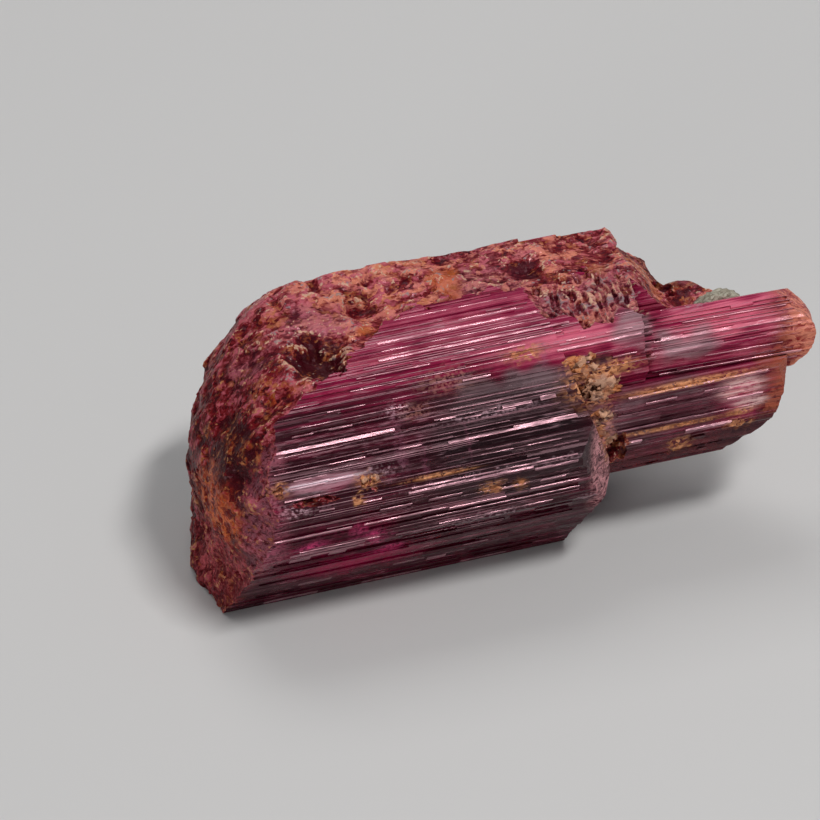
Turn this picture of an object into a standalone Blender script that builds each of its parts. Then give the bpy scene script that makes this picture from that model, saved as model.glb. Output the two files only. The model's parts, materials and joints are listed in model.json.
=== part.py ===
"""Tourmaline crystal: parallel striated prisms grown together, broken at the left end.

Length runs along +X, the crystal's front faces -Y, and it rests on a flat underside at z = 0.
All sizes below are in millimetres.
"""
import math
import random

import bmesh
import bpy
from mathutils import Matrix, Vector, noise

MM = 0.001

# Prism outlines across the length, (y, z)
MAIN_SECTION = [(4.6, 0.0), (-4.3, 0.0), (-7.4, 5.5), (-7.9, 8.7), (-6.6, 10.6), (-3.8, 14.0),
                (-0.3, 14.1), (1.6, 14.7), (5.0, 14.7), (7.7, 10.6), (8.0, 6.3)]
UPPER_SECTION = [(1.0, 5.2), (-3.2, 6.9), (-4.9, 9.8), (-5.0, 11.9), (-3.9, 13.9),
                 (-0.3, 14.0), (1.6, 14.6), (4.8, 14.6), (7.3, 10.6), (7.1, 8.4), (5.0, 5.7)]
STUB_SECTION = [(-2.0, 4.5), (-5.1, 4.8), (-5.9, 7.3), (-6.0, 9.0), (-5.8, 10.6), (-2.6, 10.5),
                (-0.6, 8.0)]
SHARD_SECTION = [(-0.9, 7.2), (-0.9, 12.7), (0.3, 14.0), (3.2, 14.0), (4.4, 11.0), (3.4, 7.6)]
SLENDER_SECTION = [(-0.4, -3.0), (-2.1, -2.4), (-2.5, -1.1), (-2.45, 0.3), (-1.8, 1.3),
                   (-0.2, 1.5), (1.3, 0.3), (1.3, -1.8)]

# Prism ends along x
MAIN_SPAN = (-18.4, 4.8)
UPPER_SPAN = (-4.0, 9.0)
STUB_SPAN = (-1.0, 15.4)
SHARD_SPAN = (4.0, 13.2)
SLENDER_LENGTH = 14.7
SLENDER_ROOT = (3.0, -1.9, 11.7)
SLENDER_TURN = -3.6          # degrees about z, tip towards the front
SLENDER_RISE = 0.9           # degrees, tip upwards

# End faces: a point on each and the way it faces
MAIN_ENDS = (((4.8, -7.6, 6.6), (0.94, -0.10, 0.34)),
             ((4.8, -7.6, 6.2), (0.95, -0.05, -0.31)),
             ((3.0, -7.8, 7.0), (0.62, -0.78, 0.10)))
STUB_ENDS = (((15.4, -5.2, 9.9), (0.94, 0.0, -0.34)),
             ((14.3, -5.2, 6.7), (0.55, 0.0, -0.83)),
             ((14.7, -5.9, 9.6), (0.62, -0.76, 0.20)),
             ((13.6, -1.0, 8.0), (0.70, 0.71, 0.0)))
SLENDER_ENDS = (((13.5, 0.0, 1.0), (0.55, 0.10, 0.83)),
                ((14.6, 0.0, 0.2), (0.90, 0.0, 0.44)),
                ((13.2, 0.0, -2.4), (0.62, 0.0, -0.78)),
                ((14.6, 0.0, -0.9), (0.92, -0.10, -0.38)),
                ((13.9, 1.2, 0.0), (0.55, 0.83, 0.05)))

# Narrow steps that run the length of the prism faces
STEP_WIDTH = 0.55
STEP_DEPTH = 0.13
STEP_TILTS = (-30, -15, 15, 30)

# Front ledges: x from and to, middle (y, z), half height
PLATES = (((-14.9, -7.6), (-7.35, 9.55), 0.55),
          ((-3.4, 2.1), (-6.3, 11.05), 0.42),
          ((-6.5, 2.9), (-7.85, 8.35), 0.45),
          ((-14.6, -1.9), (-7.65, 7.1), 0.40))

# Broken surfaces: size of their facets and how far they stand in and out
ROUGH_CELL = 0.62
ROUGH_HEIGHT = 0.55
ROUGH_SPREAD = 2.0

# Rounded cap at the broken left end
CAP_X = -17.1
CAP_MID_Y, CAP_RADIUS_Y, CAP_SWELL_Y = -1.2, 9.0, 5.6
CAP_MID_Z, CAP_RADIUS_Z, CAP_SWELL_Z = 6.0, 8.6, 7.4
SHOULDER_X, SHOULDER_RADIUS = -8.4, 9.0

# Corroded band at the back of the top, and the smooth strip it leaves in front
BAND_LEVEL = 13.95
STRIP_RISE = 1.3
STRIP_EDGE_Y = -0.5
STRIP_LEFT_X, STRIP_LEFT_SLOPE = -8.0, 0.62

# Broken right end of the upper prism and the shard behind the slender prism
UPPER_END_X = 8.3
SHARD_TOP_X, SHARD_TOP, SHARD_FALL, SHARD_LOW = 8.4, 13.9, 0.95, 10.7

# Notches etched across the top
NOTCH_FROM, NOTCH_TO = 2.7, 8.0

# Chips and pits: middle, radii, unevenness
PITS = (((-11.9, -8.1, 10.1), (3.1, 1.0, 0.85), 0.25),
        ((-9.4, -8.2, 9.6), (0.8, 0.8, 0.55), 0.3),
        ((-10.7, -1.6, 14.2), (2.2, 2.3, 1.4), 0.45),
        ((-12.9, -3.6, 12.9), (1.3, 1.1, 0.9), 0.4),
        ((2.2, -5.1, 14.0), (0.55, 0.6, 0.9), 0.4),
        ((5.6, -6.0, 7.7), (0.9, 0.8, 1.7), 0.4))

# Clay grown into the crevice between the prisms: middle, radius
CLAY = (((2.4, -5.0, 13.3), 0.75), ((3.2, -5.6, 12.3), 0.85), ((4.6, -4.9, 12.3), 0.80),
        ((4.0, -5.7, 11.2), 0.85), ((4.6, -5.8, 10.2), 0.75), ((5.1, -5.8, 9.1), 0.70),
        ((5.4, -5.6, 8.1), 0.65))
PALE_GRAIN = ((12.0, -1.5, 12.9), (1.4, 0.6, 0.55))

BODY_COLOUR = (0.33, 0.035, 0.10, 1.0)
BODY_ROUGHNESS = 0.25


def clear_all():
    for thing in list(bpy.data.objects):
        bpy.data.objects.remove(thing, do_unlink=True)


def collection(name):
    if name not in bpy.data.collections:
        bpy.context.scene.collection.children.link(bpy.data.collections.new(name))
    return bpy.data.collections[name]


def add_object(name, bm, cutter=False):
    """Turn a working mesh into an object, in the crystal's collection or among the cutters."""
    mesh = bpy.data.meshes.new(name)
    bm.to_mesh(mesh)
    bm.free()
    thing = bpy.data.objects.new(name, mesh)
    collection("cutters" if cutter else "tourmaline crystal").objects.link(thing)
    if cutter:
        thing.hide_render = True
        thing.display_type = "WIRE"
    return thing


def combine(thing, other, operation):
    """One exact Boolean, applied at once; the second object is used up."""
    change = thing.modifiers.new(other.name, "BOOLEAN")
    change.object = other
    change.operation = operation
    change.solver = "EXACT"
    graph = bpy.context.evaluated_depsgraph_get()
    mesh = bpy.data.meshes.new_from_object(thing.evaluated_get(graph))
    thing.modifiers.clear()
    thing.data = mesh
    bpy.data.objects.remove(other, do_unlink=True)


def stepped(section, width, depth, seed, flat_sides=()):
    """Outline with its sides broken into narrow flats turned by set angles."""
    dice = random.Random(seed)
    outline = []
    for side, start in enumerate(section):
        a = Vector(start)
        b = Vector(section[(side + 1) % len(section)])
        along = (b - a).normalized()
        across = Vector((-along.y, along.x))
        outline.append(a)
        place = 0.0 if side not in flat_sides else (b - a).length
        offset = 0.0
        run = width
        while place + run < (b - a).length - 0.45 * width:
            tilt = dice.choice(STEP_TILTS)
            if abs(offset + run * math.tan(math.radians(tilt))) > depth:
                tilt = -math.copysign(tilt, offset)
            offset += run * math.tan(math.radians(tilt))
            offset = max(-depth, min(depth, offset))
            place += run
            outline.append(a + along * place + across * offset)
            run = width * dice.uniform(0.55, 1.6)
    return outline


def prism(name, outline, span, along="X", cutter=False):
    """Flat outline carried straight along X, as (y, z), or along Y, as (x, z)."""
    curve = bpy.data.curves.new(name, "CURVE")
    curve.dimensions = "2D"
    curve.fill_mode = "BOTH"
    curve.extrude = (span[1] - span[0]) / 2 * MM
    spline = curve.splines.new("POLY")
    spline.points.add(len(outline) - 1)
    for point, (u, v) in zip(spline.points, outline):
        point.co = (u * MM, v * MM, 0.0, 1.0)
    spline.use_cyclic_u = True
    holder = bpy.data.objects.new(name, curve)
    bpy.context.scene.collection.objects.link(holder)
    graph = bpy.context.evaluated_depsgraph_get()
    mesh = bpy.data.meshes.new_from_object(holder.evaluated_get(graph))
    bpy.data.objects.remove(holder, do_unlink=True)
    middle = (span[0] + span[1]) / 2 * MM
    if along == "X":
        place = Matrix(((0, 0, 1, middle), (1, 0, 0, 0), (0, 1, 0, 0), (0, 0, 0, 1)))
    else:
        place = Matrix(((1, 0, 0, 0), (0, 0, -1, middle), (0, 1, 0, 0), (0, 0, 0, 1)))
    bm = bmesh.new()
    bm.from_mesh(mesh)
    bm.transform(place)
    bmesh.ops.remove_doubles(bm, verts=bm.verts, dist=1e-6)
    bmesh.ops.recalc_face_normals(bm, faces=bm.faces)
    return add_object(name, bm, cutter)


def cut_flat(thing, faces):
    """Give a prism its end faces: what lies beyond each plane is taken away."""
    bm = bmesh.new()
    bm.from_mesh(thing.data)
    for point, facing in faces:
        everything = bm.verts[:] + bm.edges[:] + bm.faces[:]
        cut = bmesh.ops.bisect_plane(bm, geom=everything, dist=1e-7, plane_co=Vector(point) * MM,
                                     plane_no=Vector(facing).normalized(), clear_outer=True)
        rim = [item for item in cut["geom_cut"] if isinstance(item, bmesh.types.BMEdge)]
        bmesh.ops.edgenet_fill(bm, edges=rim)
    bmesh.ops.recalc_face_normals(bm, faces=bm.faces)
    bm.to_mesh(thing.data)
    bm.free()


def broken(point, seed):
    """How far a broken surface stands out at a place."""
    where = Vector(point) / ROUGH_SPREAD + Vector((7.3, 3.1, 5.7)) * seed
    return ROUGH_HEIGHT * (1.1 * noise.noise(where * 0.45) + 0.8 * noise.noise(where * 1.3))


def rough_cutter(name, u_span, v_span, height, away, arrange, seed):
    """Closed block with one rough side at height(u, v); arrange() gives it x, y, z."""
    dice = random.Random(seed)
    wide = u_span[1] - u_span[0]
    deep = v_span[1] - v_span[0]
    bm = bmesh.new()
    bmesh.ops.create_grid(bm, x_segments=round(wide / ROUGH_CELL),
                          y_segments=round(deep / ROUGH_CELL), size=0.5)
    for vert in bm.verts:
        u = u_span[0] + (vert.co.x + 0.5) * wide
        v = v_span[0] + (vert.co.y + 0.5) * deep
        if abs(vert.co.x) < 0.499 and abs(vert.co.y) < 0.499:
            u += dice.uniform(-0.3, 0.3) * ROUGH_CELL
            v += dice.uniform(-0.3, 0.3) * ROUGH_CELL
        vert.co = (u, v, height(u, v))
    block = bmesh.ops.extrude_face_region(bm, geom=bm.faces[:])
    for item in block["geom"]:
        if isinstance(item, bmesh.types.BMVert):
            item.co.z = away
    bmesh.ops.triangulate(bm, faces=bm.faces)
    for vert in bm.verts:
        vert.co = Vector(arrange(*vert.co)) * MM
    bmesh.ops.recalc_face_normals(bm, faces=bm.faces)
    return add_object(name, bm, cutter=True)


def pebble(name, middle, radii, unevenness, seed, cutter=False):
    """Lump with flat facets: an uneven, stretched ball."""
    bm = bmesh.new()
    bmesh.ops.create_icosphere(bm, subdivisions=2, radius=1.0)
    shift = Vector((4.7, 1.0, -1.0)) * seed
    for vert in bm.verts:
        swell = 1.0 + unevenness * noise.noise(vert.co * 1.9 + shift)
        vert.co = Vector([m + r * k * swell for m, r, k in zip(middle, radii, vert.co)]) * MM
    return add_object(name, bm, cutter)


def rounding(t):
    """Fall of a round end: 0 at its middle, nearly 1 at its rim."""
    return 1.0 - math.sqrt(1.0 - min(abs(t), 0.999) ** 2)


def main_crystal():
    """The thick prism that carries the rest, with a flat underside and bevelled right end."""
    body = prism("tourmaline_crystal", stepped(MAIN_SECTION, STEP_WIDTH, STEP_DEPTH, 11, (0,)), MAIN_SPAN)
    cut_flat(body, MAIN_ENDS)
    for number, (span, (y, z), half) in enumerate(PLATES):
        inner = y + 1.2 * half
        ledge = [(inner, z + half), (y, z + 0.75 * half), (y - 0.35 * half, z),
                 (y, z - 0.75 * half), (inner, z - half)]
        combine(body, prism("ledge %d" % number, ledge, span), "UNION")
    return body


def upper_crystal():
    """Prism at the top and back that reaches further right than the main one."""
    return prism("upper prism", stepped(UPPER_SECTION, STEP_WIDTH, STEP_DEPTH, 23), UPPER_SPAN)


def stub_crystal():
    """Short thick prism low on the right, its tip cut by slanting faces."""
    stub = prism("stub prism", stepped(STUB_SECTION, STEP_WIDTH, STEP_DEPTH, 41), STUB_SPAN)
    cut_flat(stub, STUB_ENDS)
    return stub


def slender_crystal():
    """Long thin prism that reaches furthest right, with a blunted tip."""
    outline = stepped(SLENDER_SECTION, 0.8 * STEP_WIDTH, 0.7 * STEP_DEPTH, 37)
    rod = prism("slender prism", outline, (0.0, SLENDER_LENGTH))
    cut_flat(rod, SLENDER_ENDS)
    turn = Matrix.Rotation(math.radians(SLENDER_TURN), 4, "Z")
    rise = Matrix.Rotation(math.radians(-SLENDER_RISE), 4, "Y")
    rod.data.transform(Matrix.Translation(Vector(SLENDER_ROOT) * MM) @ turn @ rise)
    return rod


def back_shard():
    """Remains of one more prism behind the slender one."""
    return prism("back shard", stepped(SHARD_SECTION, STEP_WIDTH, STEP_DEPTH, 53), SHARD_SPAN)


def break_left_end(body):
    """The whole crystal is snapped off here in a rounded, rough face."""
    def cap_x(y, z):
        side = CAP_SWELL_Y * rounding((y - CAP_MID_Y) / CAP_RADIUS_Y)
        lift = CAP_SWELL_Z * rounding(max(0.0, z - CAP_MID_Z) / CAP_RADIUS_Z)
        return CAP_X + side + lift + broken((0, y, z), 3)
    cutter = rough_cutter("left break", (-9.6, 9.0), (-1.0, 14.9), cap_x, -24.0,
                          lambda y, z, x: (x, y, z), 5)
    combine(body, cutter, "DIFFERENCE")


def break_top(body):
    """Corroded band along the back of the top, running down over the left shoulder."""
    def top_z(x, y):
        shoulder = CAP_MID_Z + CAP_RADIUS_Z * (1.0 - rounding(max(0.0, SHOULDER_X - x) / SHOULDER_RADIUS))
        edge = STRIP_EDGE_Y - 0.18 * abs(x - 1.0)
        if x < STRIP_LEFT_X:
            edge = STRIP_EDGE_Y - 1.6 + STRIP_LEFT_SLOPE * (x - STRIP_LEFT_X)
        strip = STRIP_RISE * max(0.0, min(1.0, (edge - y) / 1.6)) if x > SHOULDER_X - 2.6 else 0.0
        return min(shoulder, BAND_LEVEL) + strip + 0.75 * broken((x, y, 0), 9)
    cutter = rough_cutter("top break", (-19.2, 11.0), (-8.9, 9.2), top_z, 20.0,
                          lambda x, y, z: (x, y, z), 6)
    combine(body, cutter, "DIFFERENCE")


def break_right_end(body):
    """Broken end of the upper prism and the shard, sloping away behind the slender prism."""
    def shard_z(x, y):
        slope = max(SHARD_LOW, SHARD_TOP - SHARD_FALL * (x - SHARD_TOP_X))
        return (slope if x > SHARD_TOP_X - 0.3 else SHARD_TOP + 1.7) + 0.7 * broken((x, y, 0), 17)
    cutter = rough_cutter("shard break", (6.6, 15.2), (-0.97, 9.0), shard_z, 20.0,
                          lambda x, y, z: (x, y, z), 8)
    combine(body, cutter, "DIFFERENCE")

    def end_x(y, z):
        return UPPER_END_X + 0.1 * (y + 4.0) - 0.25 * max(0.0, 9.0 - z) + 0.6 * broken((0, y, z), 19)
    cutter = rough_cutter("upper prism end", (1.9, 9.0), (-1.0, 11.8), end_x, 15.0,
                          lambda y, z, x: (x, y, z), 9)
    combine(body, cutter, "DIFFERENCE")


def etch_notches(body):
    """Uneven notches straight across the top near the upper prism's end."""
    dice = random.Random(71)
    x = NOTCH_FROM
    while x < NOTCH_TO:
        half = dice.uniform(0.25, 0.75)
        floor = 14.0 - dice.uniform(0.25, 0.75)
        lean = dice.uniform(-0.9, -0.1) * half
        span = (dice.uniform(-4.6, -3.0), dice.uniform(0.4, 2.4))
        cutter = prism("notch", [(-half, 15.4), (lean, floor), (half, 15.4)], span, "Y", cutter=True)
        turn = Matrix.Rotation(math.radians(dice.uniform(-9, 9)), 4, "Z")
        cutter.data.transform(Matrix.Translation((x * MM, 0, 0)) @ turn)
        combine(body, cutter, "DIFFERENCE")
        x += 0.9 * half + dice.uniform(0.1, 0.5)


def chip_and_pit(body):
    for number, (middle, radii, unevenness) in enumerate(PITS):
        hollow = pebble("pit %d" % number, middle, radii, unevenness, 60 + number, cutter=True)
        combine(body, hollow, "DIFFERENCE")


def grow_clay(body):
    """Clay lumps in the crevice, and one pale grain behind the slender prism."""
    for number, (middle, size) in enumerate(CLAY):
        lump = pebble("clay %d" % number, middle, (size, 0.8 * size, 0.95 * size), 0.5, 80 + number)
        combine(body, lump, "UNION")
    combine(body, pebble("pale grain", *PALE_GRAIN, 0.3, 91), "UNION")


def drop_loose_chips(bm):
    """Keep only the largest connected piece."""
    left = set(bm.faces)
    pieces = []
    while left:
        edge_of_piece = [left.pop()]
        piece = []
        while edge_of_piece:
            face = edge_of_piece.pop()
            piece.append(face)
            near = {other for edge in face.edges for other in edge.link_faces} & left
            left -= near
            edge_of_piece.extend(near)
        pieces.append(piece)
    pieces.sort(key=len)
    bmesh.ops.delete(bm, geom=[face for piece in pieces[:-1] for face in piece], context="FACES")


def centre(bm):
    """Put the origin below the middle of the crystal's box, on the plane it rests on."""
    low = [min(vert.co[axis] for vert in bm.verts) for axis in range(3)]
    high = [max(vert.co[axis] for vert in bm.verts) for axis in range(3)]
    shift = Vector((-(low[0] + high[0]) / 2, -(low[1] + high[1]) / 2, -low[2]))
    bmesh.ops.translate(bm, vec=shift, verts=bm.verts)


def finish(body):
    """Clean triangles, the crystal's place and its own material."""
    bm = bmesh.new()
    bm.from_mesh(body.data)
    drop_loose_chips(bm)
    bmesh.ops.remove_doubles(bm, verts=bm.verts, dist=1e-6)
    bmesh.ops.dissolve_degenerate(bm, edges=bm.edges, dist=1e-6)
    bmesh.ops.triangulate(bm, faces=bm.faces)
    bmesh.ops.recalc_face_normals(bm, faces=bm.faces)
    centre(bm)
    bm.to_mesh(body.data)
    bm.free()
    stone = bpy.data.materials.new("pink tourmaline")
    stone.use_nodes = True
    shader = stone.node_tree.nodes["Principled BSDF"]
    shader.inputs["Base Color"].default_value = BODY_COLOUR
    shader.inputs["Roughness"].default_value = BODY_ROUGHNESS
    shader.inputs["Metallic"].default_value = 0.0
    stone.diffuse_color = BODY_COLOUR
    body.data.materials.clear()
    body.data.materials.append(stone)


def build():
    clear_all()
    body = main_crystal()
    for grown_on in (upper_crystal(), back_shard(), stub_crystal(), slender_crystal()):
        combine(body, grown_on, "UNION")
    break_left_end(body)
    break_top(body)
    break_right_end(body)
    etch_notches(body)
    chip_and_pit(body)
    grow_clay(body)
    finish(body)


build()
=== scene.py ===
"""Pink tourmaline: striated prisms grown together, broken ends, clay in the crevice, on a pale table."""

import json
import math
import random

import bmesh
import bpy
import numpy as np
from mathutils import Matrix, Vector, noise

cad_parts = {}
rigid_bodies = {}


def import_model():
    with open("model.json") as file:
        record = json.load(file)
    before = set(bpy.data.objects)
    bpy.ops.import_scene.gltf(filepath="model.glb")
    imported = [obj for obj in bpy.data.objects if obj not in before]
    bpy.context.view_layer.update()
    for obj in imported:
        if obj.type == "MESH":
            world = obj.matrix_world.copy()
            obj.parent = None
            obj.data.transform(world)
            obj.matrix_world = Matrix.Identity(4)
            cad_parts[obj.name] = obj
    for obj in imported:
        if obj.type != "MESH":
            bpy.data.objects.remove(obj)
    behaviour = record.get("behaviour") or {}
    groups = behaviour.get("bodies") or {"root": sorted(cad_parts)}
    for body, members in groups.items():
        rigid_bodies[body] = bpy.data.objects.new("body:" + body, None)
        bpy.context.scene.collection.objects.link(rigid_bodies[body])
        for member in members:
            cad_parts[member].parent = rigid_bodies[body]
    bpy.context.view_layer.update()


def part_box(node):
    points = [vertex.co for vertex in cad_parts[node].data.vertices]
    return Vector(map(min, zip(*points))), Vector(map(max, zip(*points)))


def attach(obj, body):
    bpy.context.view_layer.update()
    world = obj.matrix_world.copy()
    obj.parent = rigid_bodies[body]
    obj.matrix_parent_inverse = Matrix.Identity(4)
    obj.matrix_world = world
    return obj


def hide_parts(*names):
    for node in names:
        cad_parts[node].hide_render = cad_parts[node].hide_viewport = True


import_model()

# ---------------------------------------------------------------------------
# Main prism. Pink to smoky tourmaline, grown along x with thousands of narrow steps on its
# faces. It lies on its flat underside and carries the other prisms, which grew with it.

MM = 0.001                                   # sizes and places are in millimetres
MAIN_SECTION = [(4.6, 0.0), (-4.3, 0.0), (-7.4, 5.5), (-7.9, 8.7), (-6.6, 10.6), (-3.8, 14.0),
                (-0.3, 14.1), (1.4, 14.2), (2.6, 14.6), (5.0, 14.7), (7.7, 10.6), (8.0, 6.3)]
MAIN_SPAN = (-18.4, 4.8)
# a point on each end face, and the way it faces
MAIN_ENDS = (((4.8, -7.6, 6.6), (0.94, -0.10, 0.34)),
             ((4.8, -7.6, 6.2), (0.95, -0.05, -0.31)),
             ((3.0, -7.8, 7.0), (0.62, -0.78, 0.10)))
GLINT = math.radians(125)                    # the way the bright growth facets all face, in y and z
LEAST_TILT, BROAD_TILT, NARROW_TILT = 3, 7, 30   # degrees by which flats lean from their side
GLINT_GAP = 9                                # degrees by which they keep clear of GLINT
BROAD_SHARE = 0.10                           # one flat in ten is broad
BROAD_RUN, NARROW_RUN = (2.2, 4.5), (0.5, 1.3)   # widths of both, in fine steps
LEDGE_LENGTHS = (0.08, 0.15, 0.3, 0.5, 0.7)  # of growth layers, as shares of the prism
LEDGE_HALF, LEDGE_PROUD, LEDGE_LEAN = (0.03, 0.13), (0.03, 0.09), (0.2, 1.6)
LEDGE_ROOT = 0.2
GLINT_LENGTHS = (3.0, 6.0, 11.0, 17.0)       # of the bright facets
GLINT_WIDTH, GLINT_LEAN = (0.02, 0.055), (2, 12)
GLINT_PROUD, GLINT_ROOT = 0.08, 0.5
HIGH_Z, HIGH_WIDTH, LOW_WIDTH = 5.3, 0.8, 0.5    # bright facets below HIGH_Z are worn narrower

GROWN, BROKEN, CLAY, BRIGHT = 0, 1, 2, 3
marks = [bpy.data.materials.new(name)
         for name in ("grown face", "broken face", "clay face", "bright line")]
grown = bpy.data.collections.new("grown prisms")
cutters = bpy.data.collections.new("cutters")
for group in (grown, cutters):
    bpy.context.scene.collection.children.link(group)


def add_object(name, bm, group):
    """Make an object of a mesh in the making."""
    mesh = bpy.data.meshes.new(name)
    bm.to_mesh(mesh)
    bm.free()
    thing = bpy.data.objects.new(name, mesh)
    group.objects.link(thing)
    return thing


def mark(thing, kind):
    """Remember what sort of surface an object's faces are."""
    for stone in marks:
        thing.data.materials.append(stone)
    thing.data.polygons.foreach_set("material_index", [kind] * len(thing.data.polygons))
    return thing


def outward(a, b):
    """Direction square to a side, out of the stone."""
    along = (b - a).normalized()
    return Vector((-along.y, along.x))


def stepped(section, seed, fine=0.13, depth=0.075, flat_sides=()):
    """Outline whose sides are broken into narrow flats, most of them fine and a few broad."""
    dice = random.Random(seed)
    outline = []
    for side, start in enumerate(section):
        a = Vector(start)
        b = Vector(section[(side + 1) % len(section)])
        length = (b - a).length
        facing = outward(a, b)
        shiny = math.degrees(GLINT - math.atan2(facing.y, facing.x))
        outline.append(a)
        place = length if side in flat_sides else 0.0
        offset = 0.0
        run = fine
        while place + run < length - 0.5 * fine:
            steepest = BROAD_TILT if run > 2 * fine else NARROW_TILT
            tilt = dice.choice((-1, 1)) * dice.uniform(LEAST_TILT, steepest)
            if abs(offset + run * math.tan(math.radians(tilt))) > depth:
                tilt = -math.copysign(tilt, offset)
            if abs(tilt - shiny) < GLINT_GAP:        # the bright facets are added one by one
                tilt = shiny + math.copysign(GLINT_GAP, tilt - shiny)
            offset = max(-depth, min(depth, offset + run * math.tan(math.radians(tilt))))
            place += run
            outline.append(a + (b - a) / length * place + facing * offset)
            run = fine * dice.uniform(*(BROAD_RUN if dice.random() < BROAD_SHARE else NARROW_RUN))
    return outline


def prism(name, outline, span):
    """Flat outline in y and z, carried straight along x."""
    curve = bpy.data.curves.new(name, "CURVE")
    curve.dimensions = "2D"
    curve.fill_mode = "BOTH"
    curve.extrude = (span[1] - span[0]) / 2 * MM
    spline = curve.splines.new("POLY")
    spline.points.add(len(outline) - 1)
    for point, (u, v) in zip(spline.points, outline):
        point.co = (u * MM, v * MM, 0.0, 1.0)
    spline.use_cyclic_u = True
    holder = bpy.data.objects.new(name, curve)
    bpy.context.scene.collection.objects.link(holder)
    graph = bpy.context.evaluated_depsgraph_get()
    mesh = bpy.data.meshes.new_from_object(holder.evaluated_get(graph))
    bpy.data.objects.remove(holder, do_unlink=True)
    middle = (span[0] + span[1]) / 2 * MM
    place = Matrix(((0, 0, 1, middle), (1, 0, 0, 0), (0, 1, 0, 0), (0, 0, 0, 1)))
    bm = bmesh.new()
    bm.from_mesh(mesh)
    bm.transform(place)
    bmesh.ops.remove_doubles(bm, verts=bm.verts, dist=1e-7)
    bmesh.ops.recalc_face_normals(bm, faces=bm.faces)
    return add_object(name, bm, grown)


def cut_flat(thing, ends):
    """Give a prism its end faces: what lies beyond each plane is taken away."""
    bm = bmesh.new()
    bm.from_mesh(thing.data)
    for point, facing in ends:
        everything = bm.verts[:] + bm.edges[:] + bm.faces[:]
        cut = bmesh.ops.bisect_plane(bm, geom=everything, dist=1e-8, plane_co=Vector(point) * MM,
                                     plane_no=Vector(facing).normalized(), clear_outer=True)
        rim = [item for item in cut["geom_cut"] if isinstance(item, bmesh.types.BMEdge)]
        bmesh.ops.edgenet_fill(bm, edges=rim)
    bmesh.ops.recalc_face_normals(bm, faces=bm.faces)
    bm.to_mesh(thing.data)
    bm.free()


def ledge(section, side, place, half, proud, span, lean):
    """Thin growth layer on one side of a section; place runs 0 to 1 along that side."""
    a = Vector(section[side])
    b = Vector(section[(side + 1) % len(section)])
    along = (b - a).normalized()
    out = outward(a, b)
    middle = a + (b - a) * place
    profile = [middle - along * half - out * LEDGE_ROOT,
               middle - along * (half - lean * proud) + out * proud,
               middle + along * (half - 0.3 * lean * proud) + out * proud * 1.1,
               middle + along * half - out * LEDGE_ROOT]
    prism("ledge", profile, span)


def scatter_ledges(section, sides, count, x_span, seed):
    """Many growth layers of differing width and length."""
    dice = random.Random(seed)
    reach = x_span[1] - x_span[0]
    for _ in range(count):
        length = reach * dice.choice(LEDGE_LENGTHS) * dice.uniform(0.6, 1.3)
        start = dice.uniform(x_span[0], max(x_span[0] + 0.1, x_span[1] - length))
        span = (start, min(x_span[1], start + length))
        ledge(section, dice.choice(sides), dice.uniform(0.04, 0.96), dice.uniform(*LEDGE_HALF),
              dice.uniform(*LEDGE_PROUD), span, dice.uniform(*LEDGE_LEAN))


def glint_line(y, z, width, span, dashes=1, seed=0, lean=0.0):
    """Bright growth facet of a given width along x, whole or in dashes, at a place on the surface."""
    dice = random.Random(seed)
    facing = Vector((math.cos(GLINT + lean), math.sin(GLINT + lean)))
    across = Vector((-facing.y, facing.x))
    width *= HIGH_WIDTH if z > HIGH_Z else LOW_WIDTH
    middle = Vector((y, z)) + facing * GLINT_PROUD
    profile = [middle + across * width / 2,
               middle - across * width / 2,
               middle - across * width / 2 - facing * GLINT_ROOT,
               middle + across * width / 2 - facing * GLINT_ROOT]
    reach = (span[1] - span[0]) / dashes
    for dash in range(dashes):
        start = span[0] + dash * reach
        end = start + reach * (1 if dashes == 1 else dice.uniform(0.3, 0.9))
        mark(prism("glint", profile, (start, end)), BRIGHT)


def glint_lines(lines, seed):
    """Bright facets at given places: y, z, width, from and to, and in how many dashes."""
    for number, line in enumerate(lines):
        glint_line(*line, seed=seed + number)


def scatter_glints(section, sides, count, x_span, seed):
    """Many hair-thin bright facets on the sides of a section."""
    dice = random.Random(seed)
    for _ in range(count):
        side = dice.choice(sides)
        spot = Vector(section[side]).lerp(Vector(section[side + 1]), dice.uniform(0.03, 0.97))
        length = dice.choice(GLINT_LENGTHS) * dice.uniform(0.6, 1.2)
        start = max(x_span[0], dice.uniform(x_span[0] - 2.0, x_span[1] - 0.6 * length))
        span = (start, min(x_span[1], start + length))
        glint_line(spot.x, spot.y, dice.uniform(*GLINT_WIDTH), span,
                   lean=math.radians(dice.choice((-1, 1)) * dice.uniform(*GLINT_LEAN)))


crystal = prism("tourmaline", stepped(MAIN_SECTION, 11, flat_sides=(0,)), MAIN_SPAN)
cut_flat(crystal, MAIN_ENDS)
scatter_ledges(MAIN_SECTION, (1, 1, 2, 3, 4, 4, 5), 90, (-17.0, 2.9), 5)
scatter_ledges(MAIN_SECTION, (5, 5, 6, 9, 10, 11), 60, (-17.0, 4.4), 6)
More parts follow.
